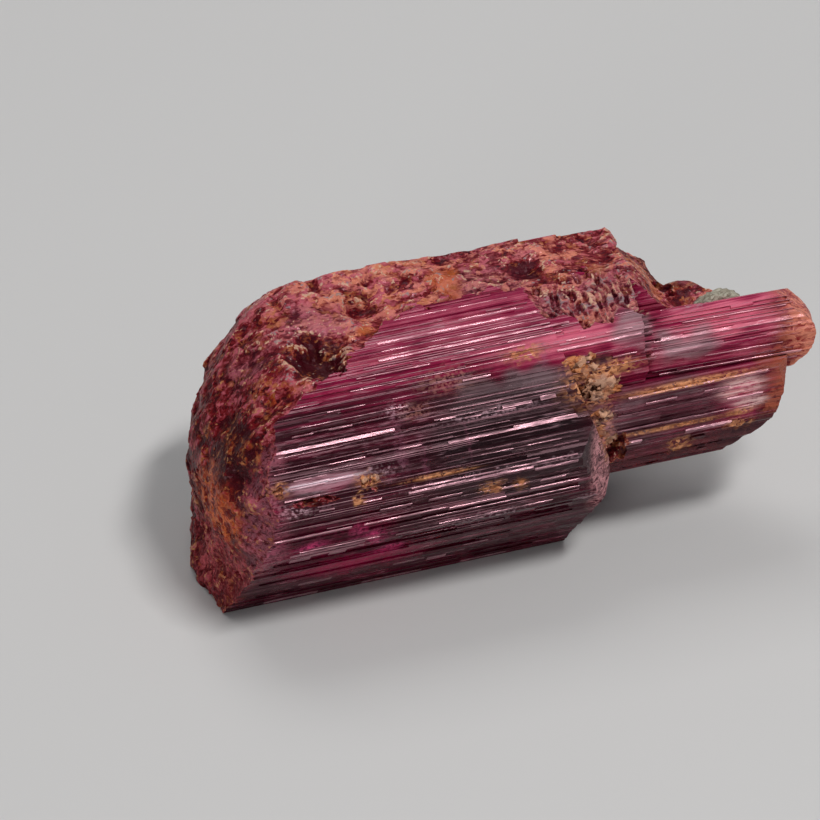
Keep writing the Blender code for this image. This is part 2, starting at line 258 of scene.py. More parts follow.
# the broadest bright facets of the front, from top to bottom
FRONT_GLINTS = (
    (0.35, 14.12, 0.05, (-5.5, 2.0), 2), (-0.70, 14.10, 0.06, (-6.2, 2.0), 2),
    (-1.32, 14.06, 0.13, (-7.0, 2.2), 1), (-2.05, 14.07, 0.05, (-7.0, 3.0), 1),
    (-2.76, 14.06, 0.14, (-7.4, 3.6), 1), (-3.35, 14.02, 0.05, (-8.0, 3.0), 1),
    (-3.82, 13.98, 0.07, (-9.0, 1.8), 2), (-4.20, 13.52, 0.05, (-9.5, 1.0), 1),
    (-4.62, 13.02, 0.12, (-3.2, -1.6), 1), (-4.75, 12.86, 0.05, (-11.0, -3.5), 2),
    (-5.08, 12.46, 0.06, (-12.6, -6.5), 1), (-5.35, 12.14, 0.06, (-13.2, -9.0), 2),
    (-5.80, 11.58, 0.22, (-14.5, -7.5), 1), (-5.95, 11.38, 0.06, (-14.2, -10.5), 1),
    (-5.80, 11.58, 0.20, (-1.3, 0.4), 1), (-5.76, 11.63, 0.30, (0.9, 1.8), 1),
    (-5.90, 11.46, 0.07, (-3.5, 0.2), 2), (-5.80, 11.60, 0.08, (-4.9, -4.0), 1),
    (-6.50, 10.72, 0.06, (-14.6, -9.4), 1), (-6.50, 10.74, 0.08, (-7.5, -6.2), 1),
    (-6.66, 10.62, 0.15, (-4.7, 2.75), 1), (-6.60, 10.68, 0.22, (-0.9, 2.7), 1),
    (-6.83, 10.13, 0.10, (-13.8, -12.0), 1), (-6.94, 10.05, 0.12, (-14.0, -11.6), 1),
    (-7.05, 9.97, 0.12, (-13.9, -11.9), 1), (-7.00, 10.03, 0.09, (-11.7, -10.2), 1),
    (-6.80, 10.28, 0.08, (-13.6, -10.9), 2),
    (-7.20, 9.75, 0.05, (-3.0, 2.4), 2), (-7.38, 9.47, 0.10, (-14.3, -12.3), 1),
    (-7.80, 8.93, 0.09, (-7.2, 2.4), 1), (-7.90, 8.74, 0.13, (-7.4, -0.2), 1),
    (-7.90, 8.56, 0.12, (-0.1, 2.4), 1), (-7.89, 8.76, 0.08, (-12.5, -7.5), 2),
    (-7.85, 7.95, 0.05, (-9.0, -3.4), 2), (-7.80, 7.60, 0.05, (-2.0, 2.5), 2),
    (-7.74, 7.10, 0.08, (-15.3, -10.6), 1), (-7.74, 7.08, 0.07, (-9.9, -5.2), 1),
    (-7.72, 6.95, 0.07, (-5.0, -1.7), 1), (-7.70, 7.08, 0.06, (-0.3, 2.5), 1),
    (-7.60, 6.50, 0.04, (-6.5, 2.6), 1), (-7.47, 5.80, 0.06, (-13.5, 2.5), 2),
    (-7.26, 5.22, 0.08, (-14.0, -9.5), 2), (-7.03, 4.85, 0.09, (-4.3, -1.6), 1),
    (-5.42, 1.96, 0.08, (-7.4, -5.6), 1), (-5.20, 1.60, 0.06, (-5.4, -4.3), 1),
    (-5.44, 2.02, 0.07, (-4.5, -3.2), 1), (-5.64, 2.38, 0.08, (-3.4, -2.0), 1),
    (-5.55, 2.25, 0.05, (-1.9, 2.6), 2), (-5.30, 1.80, 0.08, (-12.9, -11.0), 1),
    (-4.56, 0.35, 0.05, (-14.7, -11.6), 1), (-4.56, 0.35, 0.04, (-9.0, 2.6), 2))
glint_lines(FRONT_GLINTS, 0)
scatter_glints(MAIN_SECTION, (2, 3, 4, 4, 4, 5, 5, 5), 110, (-15.5, 2.6), 12)

# ---------------------------------------------------------------------------
# Upper prism. More of the same tourmaline at the top and back, grown a little further right. It
# has grown together with the main prism, and its end is torn off.

UPPER_SECTION = [(1.0, 5.2), (-3.2, 6.9), (-4.9, 9.8), (-5.0, 11.9), (-3.9, 13.9), (-0.3, 14.0),
                 (1.4, 14.1), (2.6, 14.5), (4.8, 14.6), (7.3, 10.6), (7.1, 8.4), (5.0, 5.7)]
upper = prism("upper prism", stepped(UPPER_SECTION, 23), (-4.0, 9.0))
scatter_ledges(UPPER_SECTION, (2, 3, 4, 8, 9), 40, (2.0, 8.8), 7)
scatter_glints(UPPER_SECTION, (3, 4), 10, (2.6, 8.0), 13)
UPPER_GLINTS = (
    (-4.25, 13.45, 0.13, (2.4, 7.3), 1), (-4.00, 13.80, 0.06, (3.0, 7.6), 2),
    (-4.70, 12.60, 0.06, (3.4, 7.6), 2))
glint_lines(UPPER_GLINTS, 70)

# ---------------------------------------------------------------------------
# Stub prism. Pink tourmaline, short and thick, low on the right. It grew out of the main prism,
# and its tip is cut by slanting faces.

STUB_SECTION = [(-2.0, 4.5), (-5.1, 4.8), (-5.9, 7.3), (-6.0, 9.0), (-5.8, 10.6), (-2.6, 10.5),
                (-0.6, 8.0)]
STUB_ENDS = (((15.7, -5.2, 9.9), (0.94, 0.0, -0.34)),
             ((14.9, -5.2, 6.7), (0.55, 0.0, -0.83)),
             ((15.1, -5.9, 9.6), (0.62, -0.76, 0.20)),
             ((13.6, -1.0, 8.0), (0.70, 0.71, 0.0)))
stub = prism("stub prism", stepped(STUB_SECTION, 41), (-1.0, 16.5))
cut_flat(stub, STUB_ENDS)
scatter_ledges(STUB_SECTION, (1, 2, 2, 3, 3, 4, 5), 45, (5.2, 13.6), 8)
scatter_glints(STUB_SECTION, (2, 3), 7, (5.4, 13.4), 14)
STUB_GLINTS = (
    (-5.98, 10.52, 0.12, (6.0, 14.2), 1), (-6.02, 9.95, 0.06, (7.0, 13.9), 2),
    (-6.06, 9.10, 0.10, (11.8, 13.9), 1), (-6.02, 7.45, 0.14, (5.6, 13.2), 2))
glint_lines(STUB_GLINTS, 40)

# ---------------------------------------------------------------------------
# Slender prism. The thinnest and palest tourmaline of the group, grown out of the upper prism. It
# reaches furthest right and leans a little to the front, and its tip is blunt.

SLENDER_SECTION = [(-0.4, -3.0), (-2.1, -2.4), (-2.5, -1.1), (-2.45, 0.3), (-1.8, 1.3),
                   (-0.2, 1.5), (1.3, 0.3), (1.3, -1.8)]
SLENDER_LENGTH = 14.7
SLENDER_ENDS = (((13.5, 0.0, 1.0), (0.55, 0.10, 0.83)),
                ((14.6, 0.0, 0.2), (0.90, 0.0, 0.44)),
                ((13.2, 0.0, -2.4), (0.62, 0.0, -0.78)),
                ((14.6, 0.0, -0.9), (0.92, -0.10, -0.38)),
                ((13.9, 1.2, 0.0), (0.55, 0.83, 0.05)))
SLENDER_PLACE = (Matrix.Translation(Vector((3.0, -1.9, 11.7)) * MM)
                 @ Matrix.Rotation(math.radians(-3.6), 4, "Z")
                 @ Matrix.Rotation(math.radians(-0.9), 4, "Y"))
before = set(grown.objects)
slender = prism("slender prism", stepped(SLENDER_SECTION, 37, fine=0.15, depth=0.05),
                (0.0, SLENDER_LENGTH))
cut_flat(slender, SLENDER_ENDS)
scatter_ledges(SLENDER_SECTION, (1, 2, 3, 4, 5, 6), 34, (5.0, 12.8), 9)
scatter_glints(SLENDER_SECTION, (1, 2, 3, 4), 16, (5.0, 13.4), 15)
SLENDER_GLINTS = (
    (-2.12, 0.92, 0.07, (5.2, 13.2), 1), (-1.45, 1.42, 0.09, (7.0, 13.0), 1),
    (-1.78, 1.20, 0.06, (5.4, 10.5), 1), (-2.56, -1.02, 0.07, (5.4, 13.6), 1),
    (-2.52, -0.30, 0.05, (8.0, 12.5), 1))
glint_lines(SLENDER_GLINTS, 50)
for thing in set(grown.objects) - before:
    thing.data.transform(SLENDER_PLACE)

# ---------------------------------------------------------------------------
# Back shard. What is left of one more tourmaline prism, which grew beside the others and is broken
# off behind the slender one.

SHARD_SECTION = [(-0.9, 7.2), (-0.9, 12.7), (0.3, 14.0), (3.2, 14.0), (4.4, 11.0), (3.4, 7.6)]
prism("back shard", stepped(SHARD_SECTION, 53), (4.0, 13.6))

# ---------------------------------------------------------------------------
# Broken and corroded surfaces. The left end is snapped off in a rounded rough face, the back of
# the top is eaten away in a band, and the upper prism and the shard end in torn faces.

ROUGH_CELL, TIP_CELL = 0.145, 0.13           # size of the mesh's cells on the rough faces
CAP_X = -17.1
CAP_MID_Y, CAP_RADIUS_Y, CAP_SWELL_Y = -1.2, 9.0, 5.6
CAP_MID_Z, CAP_RADIUS_Z, CAP_SWELL_Z = 6.0, 8.6, 7.4
SHOULDER_X, SHOULDER_RADIUS = -8.4, 9.0
BAND_LEVEL, STRIP_RISE, STRIP_EDGE_Y = 13.85, 1.3, 1.25
STRIP_LEFT_X, STRIP_LEFT_SLOPE = -6.4, 0.80
# on the worn top: middle in x and y, reach in x and y, and depth or height
SUNKEN = ((-10.4, -1.1, 1.6, 1.8, 0.9), (-9.8, -3.1, 1.0, 1.6, 0.8), (-6.6, 2.3, 1.0, 1.1, 0.4),
          (3.1, 2.8, 1.2, 0.9, 0.4), (-13.4, -3.4, 1.2, 0.9, 0.4), (-13.6, 3.6, 1.6, 2.0, 0.45))
RAISED = ((-9.8, 4.6, 1.2, 1.6, 0.55), (-7.2, 5.0, 1.8, 1.4, 0.50), (-3.8, 5.2, 2.4, 1.4, 0.35))
RIBS_X, RIBS_Y, RIB_HEIGHT = -8.9, -1.6, 0.35    # ribs on the slope of the pit
UPPER_END_X, TORN_X = 8.3, 7.7               # low and high on the upper prism's end
SHARD_TOP_X, SHARD_TOP, SHARD_FALL, SHARD_LOW = 8.4, 13.9, 0.95, 11.5
SHARD_END_X, SHARD_BACK_Y = 13.3, 1.7
TIP_ROUNDING, TIP_ALLOWANCE, TIP_ROUGHNESS = 0.35, 0.10, 0.40
CHIPS = ((1.7, 0.30), (4.1, 0.15), (9.0, 0.06))  # facets, chips and grit: how fine and how high

noise.seed_set(3)                            # or else noise_vector differs from run to run


def broken(point, seed, stretch=(1.0, 1.0, 1.0)):
    """How far a broken surface stands out: broad waves, tilted facets, chips, then grit."""
    where = Vector(point) / 2.0 + Vector((7.3, 3.1, 5.7)) * seed
    waves = 0.55 * (1.1 * noise.noise(where * 0.45) + 0.8 * noise.noise(where * 1.3))
    where = Vector([w * k for w, k in zip(where, stretch)])
    for fineness, height in CHIPS:
        cell = noise.voronoi(where * fineness)[1][0]
        waves += height * noise.noise_vector(cell * 5.3).dot(where * fineness - cell)
        waves += height * 0.35 * noise.noise(cell * 3.1)
    return waves


def rough_cutter(name, u_span, v_span, height, away, arrange, seed, cell=ROUGH_CELL):
    """Closed block from a rough side at height(u, v) to away; arrange() turns it to x, y, z."""
    dice = random.Random(seed)
    wide = u_span[1] - u_span[0]
    deep = v_span[1] - v_span[0]
    bm = bmesh.new()
    bmesh.ops.create_grid(bm, x_segments=round(wide / cell), y_segments=round(deep / cell), size=0.5)
    for vert in bm.verts:
        u = u_span[0] + (vert.co.x + 0.5) * wide
        v = v_span[0] + (vert.co.y + 0.5) * deep
        if abs(vert.co.x) < 0.499 and abs(vert.co.y) < 0.499:
            u += dice.uniform(-0.3, 0.3) * cell
            v += dice.uniform(-0.3, 0.3) * cell
        vert.co = (u, v, height(u, v))
    block = bmesh.ops.extrude_face_region(bm, geom=bm.faces[:])
    for item in block["geom"]:
        if isinstance(item, bmesh.types.BMVert):
            item.co.z = away
    bmesh.ops.triangulate(bm, faces=bm.faces)
    for vert in bm.verts:
        vert.co = Vector(arrange(*vert.co)) * MM
    bmesh.ops.recalc_face_normals(bm, faces=bm.faces)
    return mark(add_object(name, bm, cutters), BROKEN)


def across_x(y, z, x):
    """For a rough side that looks along x."""
    return x, y, z


def across_z(x, y, z):
    """For a rough side that looks up."""
    return x, y, z


def across_y(x, z, y):
    """For a rough side that looks along y."""
    return x, y, z


def rounding(t):
    """How far a round edge has fallen away: 0 at its middle, nearly 1 at a whole radius."""
    return 1.0 - math.sqrt(1.0 - min(abs(t), 0.999) ** 2)


def clamped(t):
    return max(0.0, min(1.0, t))


def mounds(x, y, places, layer, wander, soft):
    """Height of the highest of several uneven mounds, each a middle, its reach and its height."""
    highest = 0.0
    for mid_x, mid_y, reach_x, reach_y, height in places:
        off = math.hypot((x - mid_x) / reach_x, (y - mid_y) / reach_y)
        off += 0.5 * noise.noise(Vector((x, y, layer)) * wander)
        highest = max(highest, height * clamped((1.3 - off) / soft))
    return highest


def cap_x(y, z):
    """Rounded rough break at the left end."""
    side = CAP_SWELL_Y * rounding((y - CAP_MID_Y) / CAP_RADIUS_Y)
    lift = CAP_SWELL_Z * rounding(max(0.0, z - CAP_MID_Z) / CAP_RADIUS_Z)
    return CAP_X + side + lift + broken((0, y, z), 3)


def top_z(x, y):
    """Worn band along the back of the top, which leaves the grown strip in front of it standing."""
    shoulder = CAP_MID_Z + CAP_RADIUS_Z * (1.0 - rounding(max(0.0, SHOULDER_X - x) / SHOULDER_RADIUS))
    edge = min(STRIP_EDGE_Y, STRIP_LEFT_SLOPE * (x - STRIP_LEFT_X))
    edge += (0.7 * noise.noise(Vector((x * 0.9, y * 0.9, 4)))
             + 0.6 * noise.noise(Vector((x * 1.1, y * 3.1, 4))))
    strip = STRIP_RISE * clamped((edge - y) / 0.5)
    knobs = mounds(x, y, RAISED, 6, 1.6, 0.8)
    sunk = mounds(x, y, SUNKEN, 2, 1.3, 0.9)
    off = math.hypot((x - RIBS_X) / 1.1, (y - RIBS_Y) / 1.2)
    waver = 2.0 * noise.noise(Vector((x, y, 8)))
    ribs = RIB_HEIGHT * max(0.0, 1.0 - off) * abs(math.sin(5.5 * (0.55 * x + y) + waver))
    rough = 0.8 * broken((x, y, 0), 9, (0.5, 1.0, 1.0))
    return min(shoulder, BAND_LEVEL) + strip + knobs - sunk + ribs + rough


def shard_z(x, y):
    """Top of the shard, which falls away to the right; nothing is cut left of it."""
    slope = max(SHARD_LOW, SHARD_TOP - SHARD_FALL * (x - SHARD_TOP_X))
    return (slope if x > SHARD_TOP_X - 0.3 else SHARD_TOP + 1.7) + 0.7 * broken((x, y, 0), 17)


def end_x(y, z):
    """Low part of the upper prism's end."""
    return UPPER_END_X + 0.1 * (y + 4.0) - 0.25 * max(0.0, 9.0 - z) + 0.6 * broken((0, y, z), 19)


def side_y(x, z):
    """Back of the shard."""
    return SHARD_BACK_Y - 0.35 * max(0.0, x - 10.5) + 0.5 * broken((x, 0, z), 33)


def far_x(y, z):
    """Right end of the shard."""
    return SHARD_END_X - 0.4 * abs(y - 0.2) - 0.25 * max(0.0, 9.5 - z) + 0.5 * broken((0, y, z), 35)


rough_cutter("left break", (-9.6, 9.0), (-1.0, 14.9), cap_x, -24.0, across_x, 5)
rough_cutter("top break", (-19.2, 11.0), (-8.9, 9.2), top_z, 20.0, across_z, 6)
rough_cutter("shard break", (6.6, 15.2), (-0.97, 9.0), shard_z, 20.0, across_z, 8)
rough_cutter("upper prism end", (1.9, 9.0), (-1.0, 11.8), end_x, 15.0, across_x, 9)
rough_cutter("shard side", (9.2, 14.0), (-1.0, 12.4), side_y, 9.0, across_y, 12)
rough_cutter("shard end", (-0.97, 4.6), (-1.0, 12.4), far_x, 16.0, across_x, 13)


def combine(thing, group, operation):
    """Join a whole group to an object, or cut it away."""
    change = thing.modifiers.new(group.name, "BOOLEAN")
    change.operand_type = "COLLECTION"
    change.collection = group
    change.operation = operation
    change.solver = "MANIFOLD"
    graph = bpy.context.evaluated_depsgraph_get()
    mesh = bpy.data.meshes.new_from_object(thing.evaluated_get(graph))
    thing.modifiers.clear()
    thing.data = mesh


def cut_alone(thing, wear):
    """Cut one prism with one cutter, before the prisms are joined."""
    cutters.objects.unlink(wear)
    alone = bpy.data.collections.new("one cutter")
    bpy.context.scene.collection.children.link(alone)
    alone.objects.link(wear)
    combine(mark(thing, GROWN), alone, "DIFFERENCE")
    bpy.data.objects.remove(wear, do_unlink=True)
    bpy.data.collections.remove(alone)


def worn_tip(thing, ends, u_span, v_span, seed):
    """Roughen and round the end of a prism where its flat end faces have worn away."""
    planes = [(Vector(point), Vector(facing).normalized()) for point, facing in ends]

    def tip_x(y, z):
        flats = [p.x - (n.y * (y - p.y) + n.z * (z - p.z)) / n.x for p, n in planes]
        lowest = min(flats)
        ridge = math.log(sum(math.exp((lowest - flat) / TIP_ROUNDING) for flat in flats))
        rough = TIP_ROUGHNESS * broken((0, y, z), seed)
        return lowest - TIP_ROUNDING * ridge + TIP_ALLOWANCE + rough

    cut_alone(thing, rough_cutter("worn tip", u_span, v_span, tip_x, 22.0, across_x, seed, TIP_CELL))


def torn_x(y, z):
    """High part of the upper prism's end, torn off."""
    return TORN_X + 0.15 * (y + 4.0) - 0.10 * abs(13.0 - z) + 0.5 * broken((0, y, z), 37)


cut_alone(upper, rough_cutter("torn end", (-6.5, 8.4), (4.0, 15.6), torn_x, 15.0, across_x, 14))
worn_tip(stub, STUB_ENDS, (-7.2, 0.4), (3.6, 11.6), 29)
slender.data.transform(SLENDER_PLACE.inverted())
worn_tip(slender, SLENDER_ENDS, (-3.2, 2.2), (-3.8, 2.2), 31)
slender.data.transform(SLENDER_PLACE)

# ---------------------------------------------------------------------------
# Etched patch. Near the upper prism's end the top is eaten into blocks and slots that run
# straight across the growth lines.

PATCH_LEFT_X, PATCH_RIGHT_X, PATCH_BACK_Y, PATCH_TOP_Z = 2.1, 8.6, 1.6, 14.25
SLOT_WIDTH, SLOT_LENGTH, SLOT_DEPTH = 0.34, 0.8, 0.36
PATCH_FRONT_Y, PATCH_DEPTH, PATCH_CELL = -2.3, 0.34, 0.09


def etched_z(x, y):
    """Sunken patch of blocks of differing depth, in columns with a slot between each two."""
    front = PATCH_FRONT_Y + 1.5 * noise.noise(Vector((x * 0.8, 3, 7))) - (0.0 if x < 4.2 else 1.1)
    inside = clamped(min(x - PATCH_LEFT_X, PATCH_RIGHT_X - x, y - front, PATCH_BACK_Y - y) / 0.8)
    across = (x - 0.09 * y + 0.30 * noise.noise(Vector((x, y, 5)) * 1.1)) / SLOT_WIDTH
    column = math.floor(across)
    block = math.floor(y / SLOT_LENGTH + 7.3 * noise.cell(Vector((column, 1, 1))))
    depth = abs(noise.cell(Vector((column, block, 9)))) ** 1.3
    wall = min(1.0, 4.0 * min(across - column, column + 1 - across))
    depth *= 0.25 + 0.75 * wall
    return PATCH_TOP_Z - inside * (PATCH_DEPTH + SLOT_DEPTH * depth) + 0.32 * broken((x, y, 0), 23)


rough_cutter("etched patch", (1.9, 8.7), (-4.6, 1.8), etched_z, 20.0, across_z, 10, PATCH_CELL)

# ---------------------------------------------------------------------------
# Chips, pits and hollows. Places where bits of the stone broke out or dissolved, each of them an
# uneven scoop out of the surface.

# middle, radii and unevenness of each
PITS = (((-12.7, -7.75, 9.28), (1.5, 0.5, 0.22), 0.3),
        ((-9.5, -7.85, 9.7), (0.75, 0.8, 0.45), 0.5),
        ((-14.6, -7.4, 10.0), (0.4, 0.6, 0.4), 0.5),
        ((2.7, -5.35, 13.6), (0.55, 0.6, 0.6), 0.4),
        ((10.8, 1.1, 12.2), (0.9, 0.8, 0.8), 0.4),
        ((5.4, -6.0, 6.9), (0.8, 0.8, 1.3), 0.4))


def pebble(name, middle, radii, unevenness, seed, group, grit, fineness=4):
    """Uneven lump of stone or clay; grit roughens its skin."""
    bm = bmesh.new()
    bmesh.ops.create_icosphere(bm, subdivisions=fineness, radius=1.0)
    drift = Vector((4.7, 1.0, -1.0)) * seed
    for vert in bm.verts:
        swell = 1.0 + unevenness * noise.noise(vert.co * 1.9 + drift)
        place = Vector([m + r * k * swell for m, r, k in zip(middle, radii, vert.co)])
        place += vert.co * grit * (noise.noise(place * 3.5) + 0.7 * noise.noise(place * 8.0))
        vert.co = place * MM
    return add_object(name, bm, group)


for number, (middle, radii, unevenness) in enumerate(PITS):
    mark(pebble("pit", middle, radii, unevenness, 60 + number, cutters, 0.12), BROKEN)

# ---------------------------------------------------------------------------
# Clay. Dried ochre clay in small lumps, packed in the crevice between the prisms, a few crumbs of
# it stuck on the front, and one pale grain of another stone grown on at the back.

CREVICE = (Vector((2.9, -5.05, 12.9)), Vector((3.9, -5.2, 12.2)), Vector((4.5, -5.5, 11.2)),
           Vector((4.1, -6.25, 9.9)), Vector((4.5, -6.2, 8.7)), Vector((4.9, -5.9, 7.6)))
LUMPS, LUMP_SIZE, LUMP_SHAPE = 110, (0.12, 0.36), (1.4, 0.6, 1.0)
CRUMBS, CRUMB_SIZE = 9, (0.1, 0.22)
CRUMB_PLACE = ((-9.5, (-0.5, 0.5)), (-7.15, (-0.1, 0.2)), (9.65, (-0.3, 0.3)))   # x, y, z and spread
WIDE_UP_TO, NARROW_SPREAD = 2.4, 0.45        # the crevice narrows after its third point
PALE_GRAIN = ((12.7, -1.7, 12.6), (1.1, 0.7, 0.48))
clay = bpy.data.collections.new("clay")
bpy.context.scene.collection.children.link(clay)
dice = random.Random(83)
for number in range(LUMPS):
    reach = (len(CREVICE) - 1.001) * dice.random()
    middle = CREVICE[int(reach)].lerp(CREVICE[int(reach) + 1], reach % 1)
    spread = 1.0 if reach < WIDE_UP_TO else NARROW_SPREAD
    middle += Vector((dice.uniform(-0.8, 1.3) * spread,
                      dice.uniform(0.40, 0.52),
                      dice.uniform(-0.4, 0.3)))
    size = dice.uniform(*LUMP_SIZE)
    radii = [size * part for part in LUMP_SHAPE]
    mark(pebble("clay", middle, radii, 1.3, 80 + number, clay, 0.16, fineness=2), CLAY)
for number in range(CRUMBS):
    middle = Vector([place + dice.uniform(*spread) for place, spread in CRUMB_PLACE])
    size = dice.uniform(*CRUMB_SIZE)
    mark(pebble("clay", middle, (size, size, size), 0.9, 190 + number, clay, 0.1, fineness=2), CLAY)
mark(pebble("pale grain", *PALE_GRAIN, 0.5, 91, clay, 0.1), CLAY)

# ---------------------------------------------------------------------------
# The crystal put together. The prisms are joined, broken surfaces and hollows are cut into them, and
# the clay is fused on, so that all is one closed skin. Each face remembers what sort of surface it is.

CREST_EDGE, CREST_TURNS, CREST_HEIGHT = 0.4 * MM, 6, 0.10 * MM   # longest edge, rounds and height
SHARP_ANGLE = math.radians(9)

for thing in grown.objects:
    if not thing.data.materials:
        mark(thing, GROWN)
grown.objects.unlink(crystal)
bpy.context.scene.collection.objects.link(crystal)
combine(crystal, grown, "UNION")
combine(crystal, cutters, "DIFFERENCE")
combine(crystal, clay, "UNION")
for group in (grown, cutters, clay):
    for thing in list(group.objects):
        bpy.data.objects.remove(thing, do_unlink=True)

bm = bmesh.new()
bm.from_mesh(crystal.data)
# crumbs that hang free of the crystal are dropped, and it is set in the CAD's place
waiting = set(bm.faces)
pieces = []
while waiting:
    fringe = [waiting.pop()]
    piece = []
    while fringe:
        face = fringe.pop()
        piece.append(face)
        near = {other for edge in face.edges for other in edge.link_faces} & waiting
        waiting -= near
        fringe.extend(near)
    pieces.append(piece)
pieces.sort(key=len)
loose = sorted((face for piece in pieces[:-1] for face in piece), key=lambda face: face.index)
bmesh.ops.delete(bm, geom=loose, context="FACES")
bmesh.ops.triangulate(bm, faces=bm.faces)
low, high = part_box("tourmaline_crystal")
own_low = Vector([min(vert.co[axis] for vert in bm.verts) for axis in range(3)])
own_high = Vector([max(vert.co[axis] for vert in bm.verts) for axis in range(3)])
shift = (low + high - own_low - own_high) / 2
shift.z = -own_low.z
bmesh.ops.translate(bm, vec=shift, verts=bm.verts)
bm.to_mesh(crystal.data)
bm.free()


def read(items, name, wide=1, kind=float):
    """One property of every item, as an array with a row for each."""
    values = np.empty(len(items) * wide, dtype=kind)
    items.foreach_get(name, values)
    return values.reshape(-1, wide) if wide > 1 else values


skin = crystal.data
kinds = read(skin.polygons, "material_index", kind=int)
for name, kind in (("broken", BROKEN), ("clay", CLAY), ("bright", BRIGHT)):
    layer = skin.attributes.new(name, "FLOAT", "FACE")
    layer.data.foreach_set("value", (kinds == kind).astype(float))

# how far each point stands out from its surroundings: the colour is painted darker in hollows as shade
# and paler on crests as highlight
spots = read(skin.vertices, "co", 3)
facing = read(skin.vertices, "normal", 3)
ends = read(skin.edges, "vertices", 2, int)
ends = ends[np.linalg.norm(spots[ends[:, 0]] - spots[ends[:, 1]], axis=1) < CREST_EDGE]
count = np.maximum(np.bincount(ends.ravel(), minlength=len(spots)), 1)[:, None]
smooth = spots.copy()
for _ in range(CREST_TURNS):
    total = np.zeros_like(smooth)
    np.add.at(total, ends[:, 0], smooth[ends[:, 1]])
    np.add.at(total, ends[:, 1], smooth[ends[:, 0]])
    smooth = np.where(count > 1, 0.3 * smooth + 0.7 * total / count, smooth)
relief_shading = ((spots - smooth) * facing).sum(axis=1) / CREST_HEIGHT
layer = skin.attributes.new("relief_shading", "FLOAT", "POINT")
layer.data.foreach_set("value", np.clip(relief_shading, -1, 1))

# grown faces keep sharp steps, clay lumps are smooth all over, broken and bright faces are flat
skin.materials.clear()
skin.polygons.foreach_set("material_index", np.zeros(len(kinds), dtype=int))
skin.shade_smooth()
skin.set_sharp_from_angle(angle=SHARP_ANGLE)
of_corner = read(skin.loops, "edge_index", kind=int)
clay_corner = np.repeat(kinds, 3) == CLAY
in_clay = np.zeros(len(skin.edges), dtype=bool)
in_clay[of_corner[clay_corner]] = True
in_clay[of_corner[~clay_corner]] = False
sharp = skin.attributes["sharp_edge"].data
sharp.foreach_set("value", read(sharp, "value", kind=bool) & ~in_clay)
skin.polygons.foreach_set("use_smooth", ~np.isin(kinds, (BROKEN, BRIGHT)))
crystal.name = "tourmaline"
for stone in marks:
    bpy.data.materials.remove(stone)

# ---------------------------------------------------------------------------
# The stone itself. Clear pink to smoky tourmaline that colours the light passing through it. It is
# frosted where it is worn, matt red-brown where it is broken, and stained with ochre clay. Light and
# shade are painted into its colour too: paler faces higher up, painted shade in hollows, in the pit,
# at the left end and under the stub, and painted highlights on crests, bright facets and fine lines.


class Wire:
    """A node's output that can stand in sums and products."""

    def __init__(self, socket):
        self.socket = socket
        self.tree = socket.id_data

    @staticmethod
    def make(tree, kind, inputs=None, output=0, **settings):
        """Any node: its settings, then values or wires for its inputs."""
        node = tree.nodes.new(kind)
        for name, value in settings.items():
            setattr(node, name, value)
        for name, value in (inputs or {}).items():
            if isinstance(value, Wire):
                tree.links.new(value.socket, node.inputs[name])
            else:
                node.inputs[name].default_value = value
        return Wire(node.outputs[output])

    def maths(self, operation, other):
        return Wire.make(self.tree, "ShaderNodeMath", {0: self, 1: other}, operation=operation)

    def __add__(self, other):
        return self.maths("ADD", other)

    def __mul__(self, other):
        return self.maths("MULTIPLY", other)

    def __sub__(self, other):
        return self.maths("SUBTRACT", other)

    def __rsub__(self, other):
        return Wire.make(self.tree, "ShaderNodeMath", {0: other, 1: self}, operation="SUBTRACT")

    __radd__ = __add__
    __rmul__ = __mul__

    def step(self, start, end):
        """0 at start, 1 at end, smooth between; start may be above end."""
        return Wire.make(self.tree, "ShaderNodeMapRange",
                         {"Value": self, "From Min": start, "From Max": end},
                         interpolation_type="SMOOTHSTEP")


stone = bpy.data.materials.new("tourmaline")
stone.use_nodes = True
tree = stone.node_tree
tree.nodes.clear()


def mix(amount, a, b):
    return Wire.make(tree, "ShaderNodeMix", {0: amount, 6: a, 7: b}, 2, data_type="RGBA")


def scaled(vector, factors):
    return Wire.make(tree, "ShaderNodeVectorMath", {0: vector, 1: factors}, operation="MULTIPLY")


def moved(vector, by):
    return Wire.make(tree, "ShaderNodeVectorMath", {0: vector, 1: by}, operation="ADD")


def cloud(vector, scale, detail=3.0, rough=0.55):
    return Wire.make(tree, "ShaderNodeTexNoise",
                     {"Vector": vector, "Scale": scale, "Detail": detail, "Roughness": rough})


def zones(vector, soft, *places):
    """1 inside any of several ellipsoids, each a middle and its radii in millimetres, 0 well outside."""
    reach = None
    for middle, radii in places:
        narrowed = [1 / r for r in radii]
        centred = [-m / r for m, r in zip(middle, radii)]
        offset = Wire.make(tree, "ShaderNodeVectorMath", {0: vector, 1: narrowed, 2: centred},
                           operation="MULTIPLY_ADD")
        far = Wire.make(tree, "ShaderNodeVectorMath", {0: offset}, "Value", operation="LENGTH")
        reach = far if reach is None else reach.maths("MINIMUM", far)
    return reach.step(1 + soft, 1 - soft)


def most(*wires):
    """The highest of several wires."""
    result = wires[0]
    for wire in wires[1:]:
        result = result.maths("MAXIMUM", wire)
    return result


def parts(vector):
    """Its three numbers."""
    apart = Wire.make(tree, "ShaderNodeSeparateXYZ", {0: vector})
    return [Wire(apart.socket.node.outputs[k]) for k in range(3)]


def grains(vector, scale):
    """Three random values for each grain."""
    return parts(Wire.make(tree, "ShaderNodeTexVoronoi", {"Vector": vector, "Scale": scale}, "Color"))


place = scaled(Wire.make(tree, "ShaderNodeTexCoord", output="Object"), (1 / MM, 1 / MM, 1 / MM))


def wobble(scale):
    """A colour that wanders from place to place."""
    return Wire.make(tree, "ShaderNodeTexNoise",
                     {"Vector": place, "Scale": scale, "Detail": 0.0}, "Color")


